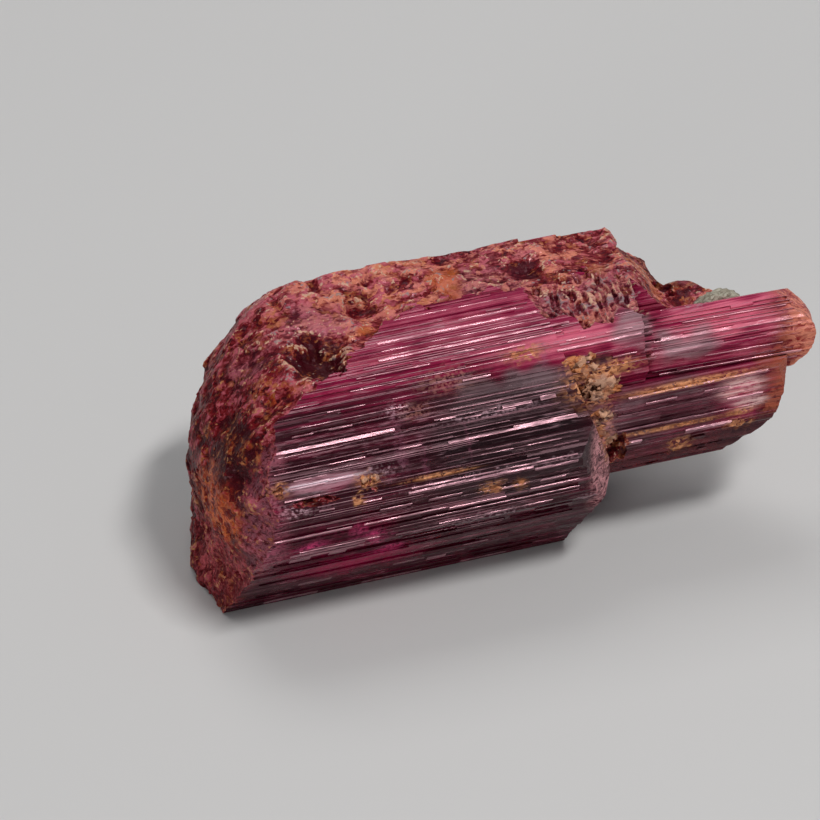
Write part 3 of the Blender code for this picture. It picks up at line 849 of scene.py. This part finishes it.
def shaken(wander, by):
    """The place, pushed about, so that what is laid out on it has uneven edges."""
    return moved(place, scaled(moved(wander, (-0.5, -0.5, -0.5)), (by, by, by)))


px, _, pz = parts(place)
wavy = shaken(wobble(0.7), 1.8)
clots = wobble(3.0)
ragged = shaken(clots, 0.6)
is_broken, is_clay, is_bright, relief_shading = (
    Wire.make(tree, "ShaderNodeAttribute", output="Fac", attribute_name=name)
    for name in ("broken", "clay", "bright", "relief_shading"))

# lines that run along the prisms, and grains
fine_lines = cloud(scaled(place, (0.10, 6.5, 6.5)), 1.0, 2.0)
hair_lines = cloud(scaled(place, (1.1, 17.0, 17.0)), 1.0, 1.0)
broad_lines = cloud(scaled(place, (0.06, 1.5, 1.5)), 1.0, 2.0)
patches = cloud(place, 0.45, 2.0)
speck = cloud(place, 5.0, 1.0, 0.65)
grain_pale, grain_ochre, grain_dark = grains(scaled(ragged, (0.5, 1.0, 1.0)), 2.6)
clotted = moved(place, scaled(clots, (0.3, 0.3, 0.3)))
chip_pale, chip_ochre, chip_dark = grains(scaled(clotted, (0.6, 1.0, 1.0)), 7.5)
stain = cloud(moved(place, (31, 7, 3)), 0.7, 2.0, 0.8)
blush = cloud(scaled(moved(place, (3, 17, 23)), (0.6, 1.0, 1.0)), 1.0, 2.0, 0.8)

# grown stone: how deep or pale its pink is, paler towards the top as painted light, and where it
# turns to smoke
DEEP = (0.060, 0.0002, 0.010, 1)
ROSE = (0.40, 0.006, 0.070, 1)
PINK = (0.86, 0.18, 0.28, 1)
SMOKE = (0.008, 0.003, 0.005, 1)
PALE_SMOKE = (0.50, 0.35, 0.38, 1)
smoke = zones(wavy, 0.35, ((-1.2, -6.8, 9.4), (5.0, 2.8, 3.6)), ((-0.8, -5.2, 12.0), (3.6, 1.2, 1.1)),
              ((7.8, -6.0, 9.2), (4.2, 2.0, 1.9)), ((9.8, -4.7, 12.3), (2.0, 1.2, 0.9)),
              ((7.0, -3.6, 13.4), (1.2, 1.2, 1.0)))
pale_pink = zones(wavy, 0.5, ((3.6, -4.2, 13.5), (4.2, 0.9, 0.7)),
                  ((-11.8, -6.9, 10.0), (2.6, 0.9, 0.45)), ((12.9, -5.9, 9.3), (1.1, 0.8, 1.3)),
                  ((12.5, -3.8, 13.2), (4.0, 1.4, 0.9)), ((-15.6, -6.6, 8.4), (0.7, 1.6, 3.4)))
rod = px.step(5.5, 8.0) * pz.step(10.3, 11.3)
stub_side = px.step(4.5, 6.0) * pz.step(6.6, 8.2)
# the rise with height is painted light: the faces that turn up are paler
level = most(pz.step(12.2, 14.0) * 0.50, rod * 0.50, stub_side * 0.36) + pale_pink * 0.34 + 0.06
tone = level + (broad_lines - 0.5) * 0.8 + (fine_lines - 0.5) * 1.2
tone = tone + (patches - 0.5) * 0.7 + (hair_lines - 0.5) * 0.5
body = mix(tone.step(0.05, 0.55), DEEP, ROSE)
body = mix(tone.step(0.45, 0.95), body, PINK)
clearing = px.step(4.5, 5.5) * 0.10
# the smoke is paler higher up, painted light on the faces that turn up
smoke_tone = tone - level * 0.5 + clearing + pz.step(10.8, 12.4) * 0.42
smoky = mix(smoke_tone.step(0.0, 0.95), SMOKE, PALE_SMOKE)
thick_smoke = 0.9 - px.step(4.0, 5.0) * 0.20
body = mix(smoke * thick_smoke * (fine_lines * 1.6 + 0.15), body, smoky)

# painted light low on the front, as if it came through the stone: a red glow and pink glints
RUBY = (0.44, 0.004, 0.075, 1)
LIT_PINK = (0.80, 0.07, 0.24, 1)
glow = zones(wavy, 0.8, ((-11.6, -7.4, 6.2), (3.0, 1.5, 1.6)), ((-10.0, -6.4, 3.6), (3.8, 2.0, 1.4)))
glow_patches = (patches * 0.7 + broad_lines * 0.7 + speck * 0.5).step(0.70, 1.15)
body = mix(glow * glow_patches * 0.95, body, RUBY)
# painted pink glints
spots = zones(wavy, 0.9, ((-12.6, -7.6, 6.4), (0.6, 0.7, 0.4)), ((-10.3, -7.6, 6.5), (0.5, 0.7, 0.45)),
              ((-9.2, -7.3, 5.8), (0.7, 0.7, 0.35)), ((-15.0, -7.5, 6.5), (0.6, 0.7, 0.35)),
              ((-8.0, -6.4, 4.2), (0.9, 0.9, 0.4)))
body = mix(spots * (speck * 0.7 + hair_lines * 0.5).step(0.42, 0.70), body, LIT_PINK)

# worn tips of the slender and stub prisms, redder at their very end, with painted highlights on
# their crests
TIP_DARK, TIP_DARK_END = (0.10, 0.008, 0.006, 1), (0.30, 0.016, 0.010, 1)
TIP_PALE, TIP_PALE_END = (0.46, 0.12, 0.06, 1), (0.90, 0.32, 0.19, 1)
tip = zones(wavy, 0.4, ((16.9, -4.2, 11.4), (2.3, 3.2, 2.6)), ((15.0, -5.2, 9.2), (1.2, 2.4, 2.4)))
tip_end = px.step(15.2, 16.2)
tip_wear = (chip_pale * 0.5 + blush + relief_shading * 0.5).step(0.45, 1.0)
tip_colour = mix(tip_wear, mix(tip_end, TIP_DARK, TIP_DARK_END), mix(tip_end, TIP_PALE, TIP_PALE_END))
body = mix(tip * 0.85, body, tip_colour)

# worn, frosted and dusty places on the grown faces, with painted highlight bands and painted
# highlight lines along the growth lines
WORN_AND_HIGHLIGHT = (0.50, 0.30, 0.35, 1)
DUST = (0.62, 0.27, 0.22, 1)
MILKY = (0.95, 0.60, 0.58, 1)
# frosted places, and painted highlight bands along bright ridges of the front
frost_and_highlight = zones(ragged, 0.6, ((-2.0, -5.85, 11.45), (2.9, 0.5, 0.22)),
              ((-2.3, -7.9, 8.85), (5.2, 0.4, 0.16)), ((-3.0, -7.4, 5.7), (2.5, 0.5, 0.40)),
              ((-14.0, -7.7, 9.0), (1.7, 0.5, 0.45)), ((3.1, -7.3, 5.4), (0.6, 0.5, 0.25)),
              ((-12.4, -6.9, 10.0), (1.9, 0.6, 0.32)), ((-7.2, -5.2, 12.4), (0.7, 0.5, 0.5)),
              ((-9.0, -6.7, 9.9), (1.6, 0.6, 0.5)), ((11.0, -2.4, 13.2), (0.9, 0.5, 0.4)))
frost_and_highlight = most(frost_and_highlight, zones(wavy, 0.4, ((-15.8, -6.7, 7.6), (0.6, 1.7, 4.0))) * 0.7)
# thin painted highlight lines along the growth lines
highlight_lines = (fine_lines * 0.9 + hair_lines * 0.9 + patches * 0.3 - glow * 0.12).step(1.18, 1.38)
frost_and_highlight = most(frost_and_highlight * (speck * 0.9 + hair_lines * 0.7).step(0.70, 1.0), highlight_lines * 0.6)
body = mix(frost_and_highlight, body, WORN_AND_HIGHLIGHT)
dust = zones(ragged, 0.7, ((-4.0, -4.5, 13.2), (1.7, 0.8, 0.6)), ((-6.2, -5.3, 12.2), (0.8, 0.5, 0.4)))
dust = dust * (speck + chip_pale * 0.3).step(0.52, 0.78) * 0.6
body = mix(dust, body, DUST)
milky = zones(place, 0.4, ((12.6, -6.0, 9.6), (1.4, 0.9, 0.8)), ((13.2, -6.0, 8.5), (1.0, 0.9, 0.5)))
body = mix(milky * (hair_lines * 0.8 + fine_lines + speck * 0.3).step(0.85, 1.15), body, MILKY)

# painted shade on the underside of the stub, bevelled end of the main prism, painted highlights on
# the bright facets, cracks across the growth lines, the pale lens-shaped facet at the left with
# painted highlight streaks, and the frosted edge beside the break
UNDER_DARK, UNDER_RED = (0.036, 0.001, 0.004, 1), (0.26, 0.030, 0.034, 1)
BEVEL = (0.80, 0.36, 0.38, 1)
FACET_HIGHLIGHT = (0.80, 0.40, 0.48, 1)
CRACK = (0.50, 0.14, 0.24, 1)
LENS_DARK, LENS_HIGHLIGHT = (0.42, 0.10, 0.15, 1), (0.92, 0.78, 0.86, 1)
PINK_GREY = (0.46, 0.14, 0.19, 1)
# painted shade under the stub
under = zones(wavy, 0.4, ((9.5, -5.2, 5.2), (6.5, 2.0, 1.6)))
under_tone = (broad_lines + grain_pale * 0.4).step(0.50, 0.95)
body = mix(under * 0.7, body, mix(under_tone, UNDER_DARK, UNDER_RED))
bevel = zones(place, 0.3, ((4.2, -6.4, 7.0), (1.1, 2.4, 3.4)))
body = mix(bevel * (grain_pale * 0.3 + fine_lines * 0.7 + chip_pale * 0.4).step(0.40, 1.05), body, BEVEL)
# the bright facets are painted pale in streaks, a painted highlight
body = mix(is_bright * hair_lines.step(0.30, 0.55) * 0.75, body, FACET_HIGHLIGHT)
cracks = zones(place, 0.6, ((-7.4, -6.3, 10.9), (0.35, 1.6, 1.6)),
               ((-6.2, -6.9, 10.0), (0.18, 1.6, 1.2)), ((-3.6, -6.6, 10.4), (0.12, 1.0, 0.8)),
               ((1.5, -4.2, 13.4), (0.25, 0.8, 0.8)))
body = mix(cracks * speck.step(0.35, 0.6) * 0.5, body, CRACK)
# the lens-shaped facet is painted in pale streaks, a painted highlight
lens = zones(place, 0.35, ((-12.0, -6.95, 10.0), (2.4, 0.8, 0.42))) * hair_lines.step(0.25, 0.45)
streaks = fine_lines.step(0.50, 0.64) * 0.7 + hair_lines * 0.4
body = mix(lens * 0.9, body, mix(streaks, LENS_DARK, LENS_HIGHLIGHT))
edge_frost = zones(ragged, 0.6, ((-15.4, -7.2, 8.0), (1.2, 1.7, 4.4)),
                   ((-14.6, -6.0, 11.4), (0.8, 0.8, 0.8)))
edge_frost = edge_frost * (speck * 0.8 + chip_pale * 0.3).step(0.30, 0.66) * 0.8
body = mix(edge_frost, body, PINK_GREY)

# broken faces: dark red-brown stone in facets, pink where fresh, ochre where clay has stained it,
# with painted shade in hollows, in the pit and at the left end, and painted light on crests and higher
# up
MAROON = (0.040, 0.001, 0.003, 1)
RED_BROWN = (0.160, 0.005, 0.007, 1)
ORANGE = (0.42, 0.065, 0.012, 1)
OCHRE = (0.58, 0.20, 0.07, 1)
CREAM = (0.78, 0.50, 0.34, 1)
GREY = (0.30, 0.25, 0.26, 1)
FRESH_PINK, FRESH_ORANGE = (0.56, 0.115, 0.15, 1), (0.82, 0.28, 0.18, 1)
EMBER_DARK, EMBER, EMBER_PALE = (0.17, 0.008, 0.006, 1), (0.50, 0.050, 0.018, 1), (0.95, 0.24, 0.06, 1)
RUST = (0.70, 0.17, 0.025, 1)
CORNER_DARK, CORNER_PINK = (0.16, 0.004, 0.008, 1), (0.74, 0.13, 0.15, 1)
VIOLET_DARK, VIOLET_PALE = (0.06, 0.004, 0.014, 1), (0.44, 0.14, 0.18, 1)
LEFT_BROWN, LEFT_OCHRE = (0.42, 0.13, 0.05, 1), (0.62, 0.28, 0.12, 1)
# painted shade in these hollows
hollow_shade = zones(wavy, 0.5, ((-10.3, -1.1, 13.3), (2.1, 2.2, 1.3)), ((-15.4, -3.4, 9.6), (1.6, 2.4, 2.6)),
               ((3.1, 3.0, 14.0), (1.2, 0.9, 0.7)), ((-6.5, 2.5, 13.8), (0.9, 1.0, 0.7)),
               ((10.8, 1.1, 11.8), (1.2, 1.0, 1.0)), ((-16.6, -4.2, 1.6), (1.5, 1.5, 1.5)))
# painted shade in the pit
pit = zones(ragged, 0.5, ((-10.4, -0.9, 13.2), (1.3, 1.5, 1.3)), ((-10.0, -2.8, 13.0), (0.9, 1.5, 1.2)))
on_top = px.step(-14.0, -8.0)
shade = 0.46 + (blush - 0.5) * 1.2 + (grain_pale - 0.5) * 0.40 + (chip_pale - 0.5) * 0.36
# painted highlight on crests, painted shade in hollows and in the pit
shade = shade + relief_shading * 0.45 - hollow_shade * 0.40
shade = shade + on_top * (0.24 - px.step(-4.0, 3.0) * 0.14) - pit * 0.45 - 0.07
# painted shade towards the left end, painted light higher up
shade = shade - px.step(-13.5, -16.5) * 0.10 + pz.step(7.5, 11.0) * 0.10
shade = shade + px.step(-13.0, -8.0) * (fine_lines + hair_lines - 1) * 0.55
fresh = mix((grain_ochre * 0.7 + blush * 0.6).step(0.40, 0.90) * on_top, FRESH_PINK, FRESH_ORANGE)
crust = mix(shade.step(0.12, 0.48), MAROON, RED_BROWN)
crust = mix(shade.step(0.42, 0.95), crust, fresh)
ember = zones(wavy, 0.5, ((-17.0, -3.4, 6.8), (1.4, 2.6, 2.0)), ((-16.7, -4.8, 1.0), (0.8, 0.8, 0.7)))
ember_tone = (shade * 0.6 + grain_pale * 0.5).step(0.1, 0.7)
crust = mix(ember * 0.9, crust, mix(ember_tone, EMBER_DARK, mix(chip_ochre, EMBER, EMBER_PALE)))
stained = zones(wavy, 0.7, ((-1.6, 2.7, 14.0), (0.7, 1.3, 0.6)), ((-7.3, 0.2, 13.8), (0.6, 0.5, 0.5)))
crust = mix(stained * (chip_pale * 0.5 + 0.4), crust, RUST)
foot = zones(wavy, 0.5, ((-16.5, -3.6, 2.4), (1.8, 4.0, 2.2)))
foot_tone = (shade * 0.6 + chip_ochre * 0.5).step(0.1, 0.8)
crust = mix(foot * 0.8, crust, mix(foot_tone, CORNER_DARK, CORNER_PINK))
crust = mix(edge_frost * 0.6, crust, PINK_GREY)
rusty = zones(wavy, 0.6, ((-1.5, 2.8, 14.1), (1.0, 1.5, 0.8)), ((-7.3, 0.2, 13.8), (0.8, 0.6, 0.6)),
              ((-13.4, -2.2, 13.1), (1.4, 1.0, 0.9)), ((-16.0, -3.6, 10.6), (0.5, 1.2, 0.7)),
              ((6.6, 1.4, 13.9), (1.4, 1.2, 0.6)), ((-4.6, 2.3, 14.0), (1.0, 0.6, 0.5)),
              ((10.0, 0.6, 12.4), (2.0, 2.0, 2.0)))
rust = rusty * 0.16 + stain + (grain_ochre - 0.5) * 0.26 + (chip_ochre - 0.5) * 0.22
rust = (rust - px.step(-13.0, -15.5) * 0.05).step(0.55, 0.80)
crust = mix(rust * 0.7, crust, mix((chip_dark * 0.5 + stain).step(0.6, 1.0), ORANGE, OCHRE))
violet = zones(wavy, 0.5, ((6.7, -1.2, 13.9), (1.9, 2.8, 0.9)), ((3.4, -1.2, 13.8), (1.6, 1.8, 0.9)),
               ((0.6, 2.0, 13.9), (2.2, 1.6, 0.8)), ((-9.4, 2.0, 13.8), (1.8, 1.4, 0.8)),
               ((-13.4, 0.5, 12.6), (1.4, 1.4, 1.4)))
crust = mix(violet * 0.5, crust, mix(shade.step(0.2, 0.8), VIOLET_DARK, VIOLET_PALE))
# pale cream grains, some of them painted highlights on the crests, a few more of them higher up
creamy = zones(ragged, 0.5, ((-6.4, 4.5, 13.8), (0.8, 0.25, 0.3)),
               ((2.6, 2.34, 14.0), (0.28, 0.28, 0.28)), ((-9.2, -1.0, 13.7), (1.0, 0.9, 0.7)),
               ((5.4, -1.2, 14.0), (2.9, 2.0, 0.30)), ((8.0, -0.5, 13.9), (0.18, 5.0, 0.5)))
cream_grains = chip_ochre * 0.35 + speck * 0.8 + relief_shading * 0.35 + creamy * 0.12
cream_grains = cream_grains + pz.step(11.0, 14.0) * 0.04
cream_and_highlight = most(cream_grains.step(0.82, 0.94), creamy * relief_shading.step(0.1, 0.6) * 0.7)
grey_cream = mix(px.step(-14.5, -12.0), LEFT_BROWN, GREY)
warm_cream = mix(px.step(-15.5, -12.5), LEFT_OCHRE, CREAM)
crust = mix(cream_and_highlight * 0.85, crust, mix(stain.step(0.42, 0.52), grey_cream, warm_cream))

# clay: brown to cream lumps with grey and rusty ones among them, and a pale green-grey grain; the
# lumps are painted paler on their crests, a painted highlight
CLAY_DARK, CLAY_PALE = (0.10, 0.036, 0.024, 1), (0.84, 0.46, 0.29, 1)
PURPLE_DARK, PURPLE_PALE = (0.16, 0.085, 0.085, 1), (0.62, 0.40, 0.37, 1)
RUST_DARK, RUST_PALE = (0.30, 0.070, 0.020, 1), (0.85, 0.34, 0.13, 1)
CLAY_GREY = (0.30, 0.19, 0.16, 1)
GRAIN_DARK, GRAIN_PALE = (0.20, 0.18, 0.13, 1), (0.50, 0.48, 0.38, 1)
clay_tone = (chip_dark * 0.6 + grain_dark * 0.5 + relief_shading * 0.5).step(0.0, 1.1)
clay_colour = mix(clay_tone, CLAY_DARK, CLAY_PALE)
purple = mix(chip_pale, PURPLE_DARK, PURPLE_PALE)
clay_colour = mix(grain_ochre.step(0.55, 0.75) * 0.6, clay_colour, purple)
rusty_clay = (stain + (grain_ochre - 0.5) * 0.5 + pz.step(10.5, 12.5) * 0.10).step(0.45, 0.62)
clay_colour = mix(rusty_clay * 0.9, clay_colour, mix(chip_pale, RUST_DARK, RUST_PALE))
grey_clay = (patches + (grain_pale - 0.5) * 0.5).step(0.54, 0.66)
clay_colour = mix(grey_clay * 0.4, clay_colour, CLAY_GREY)
clay_colour = mix(is_clay * px.step(9.0, 10.0), clay_colour, mix(chip_pale, GRAIN_DARK, GRAIN_PALE))

# where the grown faces are dirty, frayed or hidden under clay
DIRT_DARK, DIRT_PALE = (0.18, 0.030, 0.009, 1), (0.92, 0.42, 0.20, 1)
frayed = zones(wavy, 0.3, ((-17.4, -6.0, 8.0), (2.1, 3.0, 9.0)))
rough_here = most(is_broken, frayed * chip_dark.step(0.35, 0.6))
lines_of_dirt = zones(place, 0.6, ((-5.6, -7.58, 9.27), (2.2, 0.30, 0.10)),
                      ((9.7, -5.9, 10.56), (4.3, 0.45, 0.16)), ((8.4, -6.1, 7.95), (3.8, 0.5, 0.18)),
                      ((12.5, -5.95, 8.0), (0.9, 0.4, 0.25)))
spots_of_dirt = zones(ragged, 0.7, ((-2.6, -7.84, 7.8), (0.7, 0.5, 0.5)),
                      ((-0.9, -7.8, 7.7), (0.35, 0.5, 0.5)), ((-14.4, -6.97, 10.07), (0.5, 0.5, 0.4)),
                      ((-9.5, -7.2, 9.7), (0.7, 0.6, 0.45)), ((-10.2, -7.8, 8.9), (0.35, 0.4, 0.5)),
                      ((0.5, -4.1, 13.65), (1.2, 0.5, 0.35)), ((5.6, -4.9, 12.0), (1.9, 0.6, 0.45)),
                      ((9.2, -5.6, 6.3), (0.7, 0.6, 0.7)), ((12.6, -5.9, 7.1), (1.0, 0.6, 0.45)),
                      ((3.9, -5.6, 11.8), (1.7, 1.0, 1.6)), ((4.5, -6.2, 8.9), (0.6, 0.6, 2.0)))
rusty_dirt = mix(chip_pale * 0.7 + chip_dark * 0.5, DIRT_DARK, DIRT_PALE)
clay_colour = mix(1 - is_clay, clay_colour, rusty_dirt)
dirt = most(lines_of_dirt * (speck + 0.4 * chip_ochre).step(0.36, 0.62),
            spots_of_dirt * (chip_ochre * 0.6 + grain_ochre * 0.4).step(0.2, 0.55))

# clear stone under matt stone, and how far each place is covered by the matt one
TOURMALINE_IOR, CRUST_IOR = 1.63, 1.5
LEAST_COVER, COVER_RANGE = 0.08, 0.85
CLEAR_TINT, MATT_TINT = (1.0, 0.56, 0.64, 1), (1.0, 0.7, 0.7, 1)
DEPTH_COLOUR, DEPTH_DENSITY = (0.80, 0.04, 0.30, 1), 380.0
GRIT_HEIGHT = 0.1 * MM
covered = most(rough_here * 0.85, milky * 0.8, bevel * 0.7, dust, edge_frost * 0.9, is_clay, dirt, frost_and_highlight,
               is_bright * 0.32, level * 0.8, tip * 0.8, glow * 0.6, lens * 0.8)
covered = covered * COVER_RANGE + LEAST_COVER
colour = mix(rough_here * (1 - tip * 0.8), body, crust)
colour = mix(most(is_clay, dirt), colour, clay_colour)
bump = Wire.make(tree, "ShaderNodeBump", {"Strength": 0.6, "Distance": GRIT_HEIGHT,
                                          "Height": speck * is_broken}, "Normal")
dulled = (patches + hair_lines).step(1.16, 0.86)
clear = Wire.make(tree, "ShaderNodeBsdfPrincipled",
                  {"Base Color": body, "Roughness": dulled * 0.26 + 0.12, "IOR": TOURMALINE_IOR,
                   "Transmission Weight": 0.75, "Specular IOR Level": 0.09, "Specular Tint": CLEAR_TINT})
matt = Wire.make(tree, "ShaderNodeBsdfPrincipled",
                 {"Base Color": colour, "Roughness": dulled * 0.2 + 0.35, "IOR": CRUST_IOR,
                  "Specular IOR Level": 0.10, "Specular Tint": MATT_TINT, "Normal": bump})
shader = Wire.make(tree, "ShaderNodeMixShader", {0: covered, 1: clear, 2: matt})
depth = Wire.make(tree, "ShaderNodeVolumeAbsorption", {"Color": DEPTH_COLOUR, "Density": DEPTH_DENSITY})
sheet = tree.nodes.new("ShaderNodeOutputMaterial")
tree.links.new(shader.socket, sheet.inputs["Surface"])
tree.links.new(depth.socket, sheet.inputs["Volume"])
crystal.data.materials.append(stone)

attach(crystal, "root")
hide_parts("tourmaline_crystal")

# ---------------------------------------------------------------------------
# Table, lights and camera. The crystal lies on a pale painted board under a narrow key lamp that
# its bright facets throw back to the camera, with weaker lamps above and at the side.

PIXEL = 0.0575 * MM                          # one pixel of the square frame, at the crystal
FRAME_PIXELS, DISTANCE_PIXELS, AIM_PIXELS = 820, 6300, (-24.5, 168.0, 0.0)
TURN, LIFT = math.radians(18.6), math.radians(38.0)
SENSOR = 36
BOARD_HALF, BOARD_GAP = 1.5, 0.02 * MM
BOARD_PAINT, BOARD_ROUGH = (0.62, 0.61, 0.60, 1), 0.8
LAMP_TARGET = Vector((0, 0, 0.007))          # half way up the crystal
STUDIO_WALLS, STUDIO_STRENGTH = (0.80, 0.82, 0.86, 1), 0.22

bm = bmesh.new()
bmesh.ops.create_grid(bm, x_segments=1, y_segments=1, size=BOARD_HALF)
table = add_object("table", bm, bpy.context.scene.collection)
table.location.z = -BOARD_GAP
paint = bpy.data.materials.new("table paint")
paint.use_nodes = True
paint.node_tree.nodes["Principled BSDF"].inputs["Base Color"].default_value = BOARD_PAINT
paint.node_tree.nodes["Principled BSDF"].inputs["Roughness"].default_value = BOARD_ROUGH
table.data.materials.append(paint)


def soft_box(name, toward, distance, size, power):
    """Flat lamp that faces the crystal from a direction."""
    lamp = bpy.data.lights.new(name, "AREA")
    lamp.shape = "RECTANGLE"
    lamp.size, lamp.size_y = size
    lamp.energy = power
    holder = bpy.data.objects.new(name, lamp)
    bpy.context.scene.collection.objects.link(holder)
    holder.location = Vector(toward).normalized() * distance + LAMP_TARGET
    holder.rotation_euler = (holder.location - LAMP_TARGET).to_track_quat("Z", "Y").to_euler()


soft_box("key soft box", (0.25, -0.33, 0.91), 0.45, (0.16, 0.05), 1.1)
soft_box("overhead soft box", (0.0, 0.6, 1.0), 0.60, (0.30, 0.30), 0.9)
soft_box("side soft box", (-0.75, -0.70, 0.20), 0.40, (0.12, 0.12), 0.28)
studio = bpy.data.worlds.new("studio")
bpy.context.scene.world = studio
studio.use_nodes = True
studio.node_tree.nodes["Background"].inputs["Color"].default_value = STUDIO_WALLS
studio.node_tree.nodes["Background"].inputs["Strength"].default_value = STUDIO_STRENGTH
bpy.context.scene.view_settings.view_transform = "Standard"
bpy.context.scene.cycles.max_bounces = 6
bpy.context.scene.cycles.adaptive_threshold = 0.05

back = Vector((-math.sin(TURN) * math.cos(LIFT), -math.cos(TURN) * math.cos(LIFT), math.sin(LIFT)))
right = Vector((math.cos(TURN), -math.sin(TURN), 0))
optics = bpy.data.cameras.new("camera")
optics.sensor_width = SENSOR
optics.lens = SENSOR * DISTANCE_PIXELS / FRAME_PIXELS
optics.clip_start, optics.clip_end = 0.01, 10
camera = bpy.data.objects.new("camera", optics)
bpy.context.scene.collection.objects.link(camera)
stand = Matrix((right, back.cross(right), back)).transposed().to_4x4()
stand.translation = Vector(AIM_PIXELS) * PIXEL + shift + back * (DISTANCE_PIXELS * PIXEL)
camera.matrix_world = stand
bpy.context.scene.camera = camera
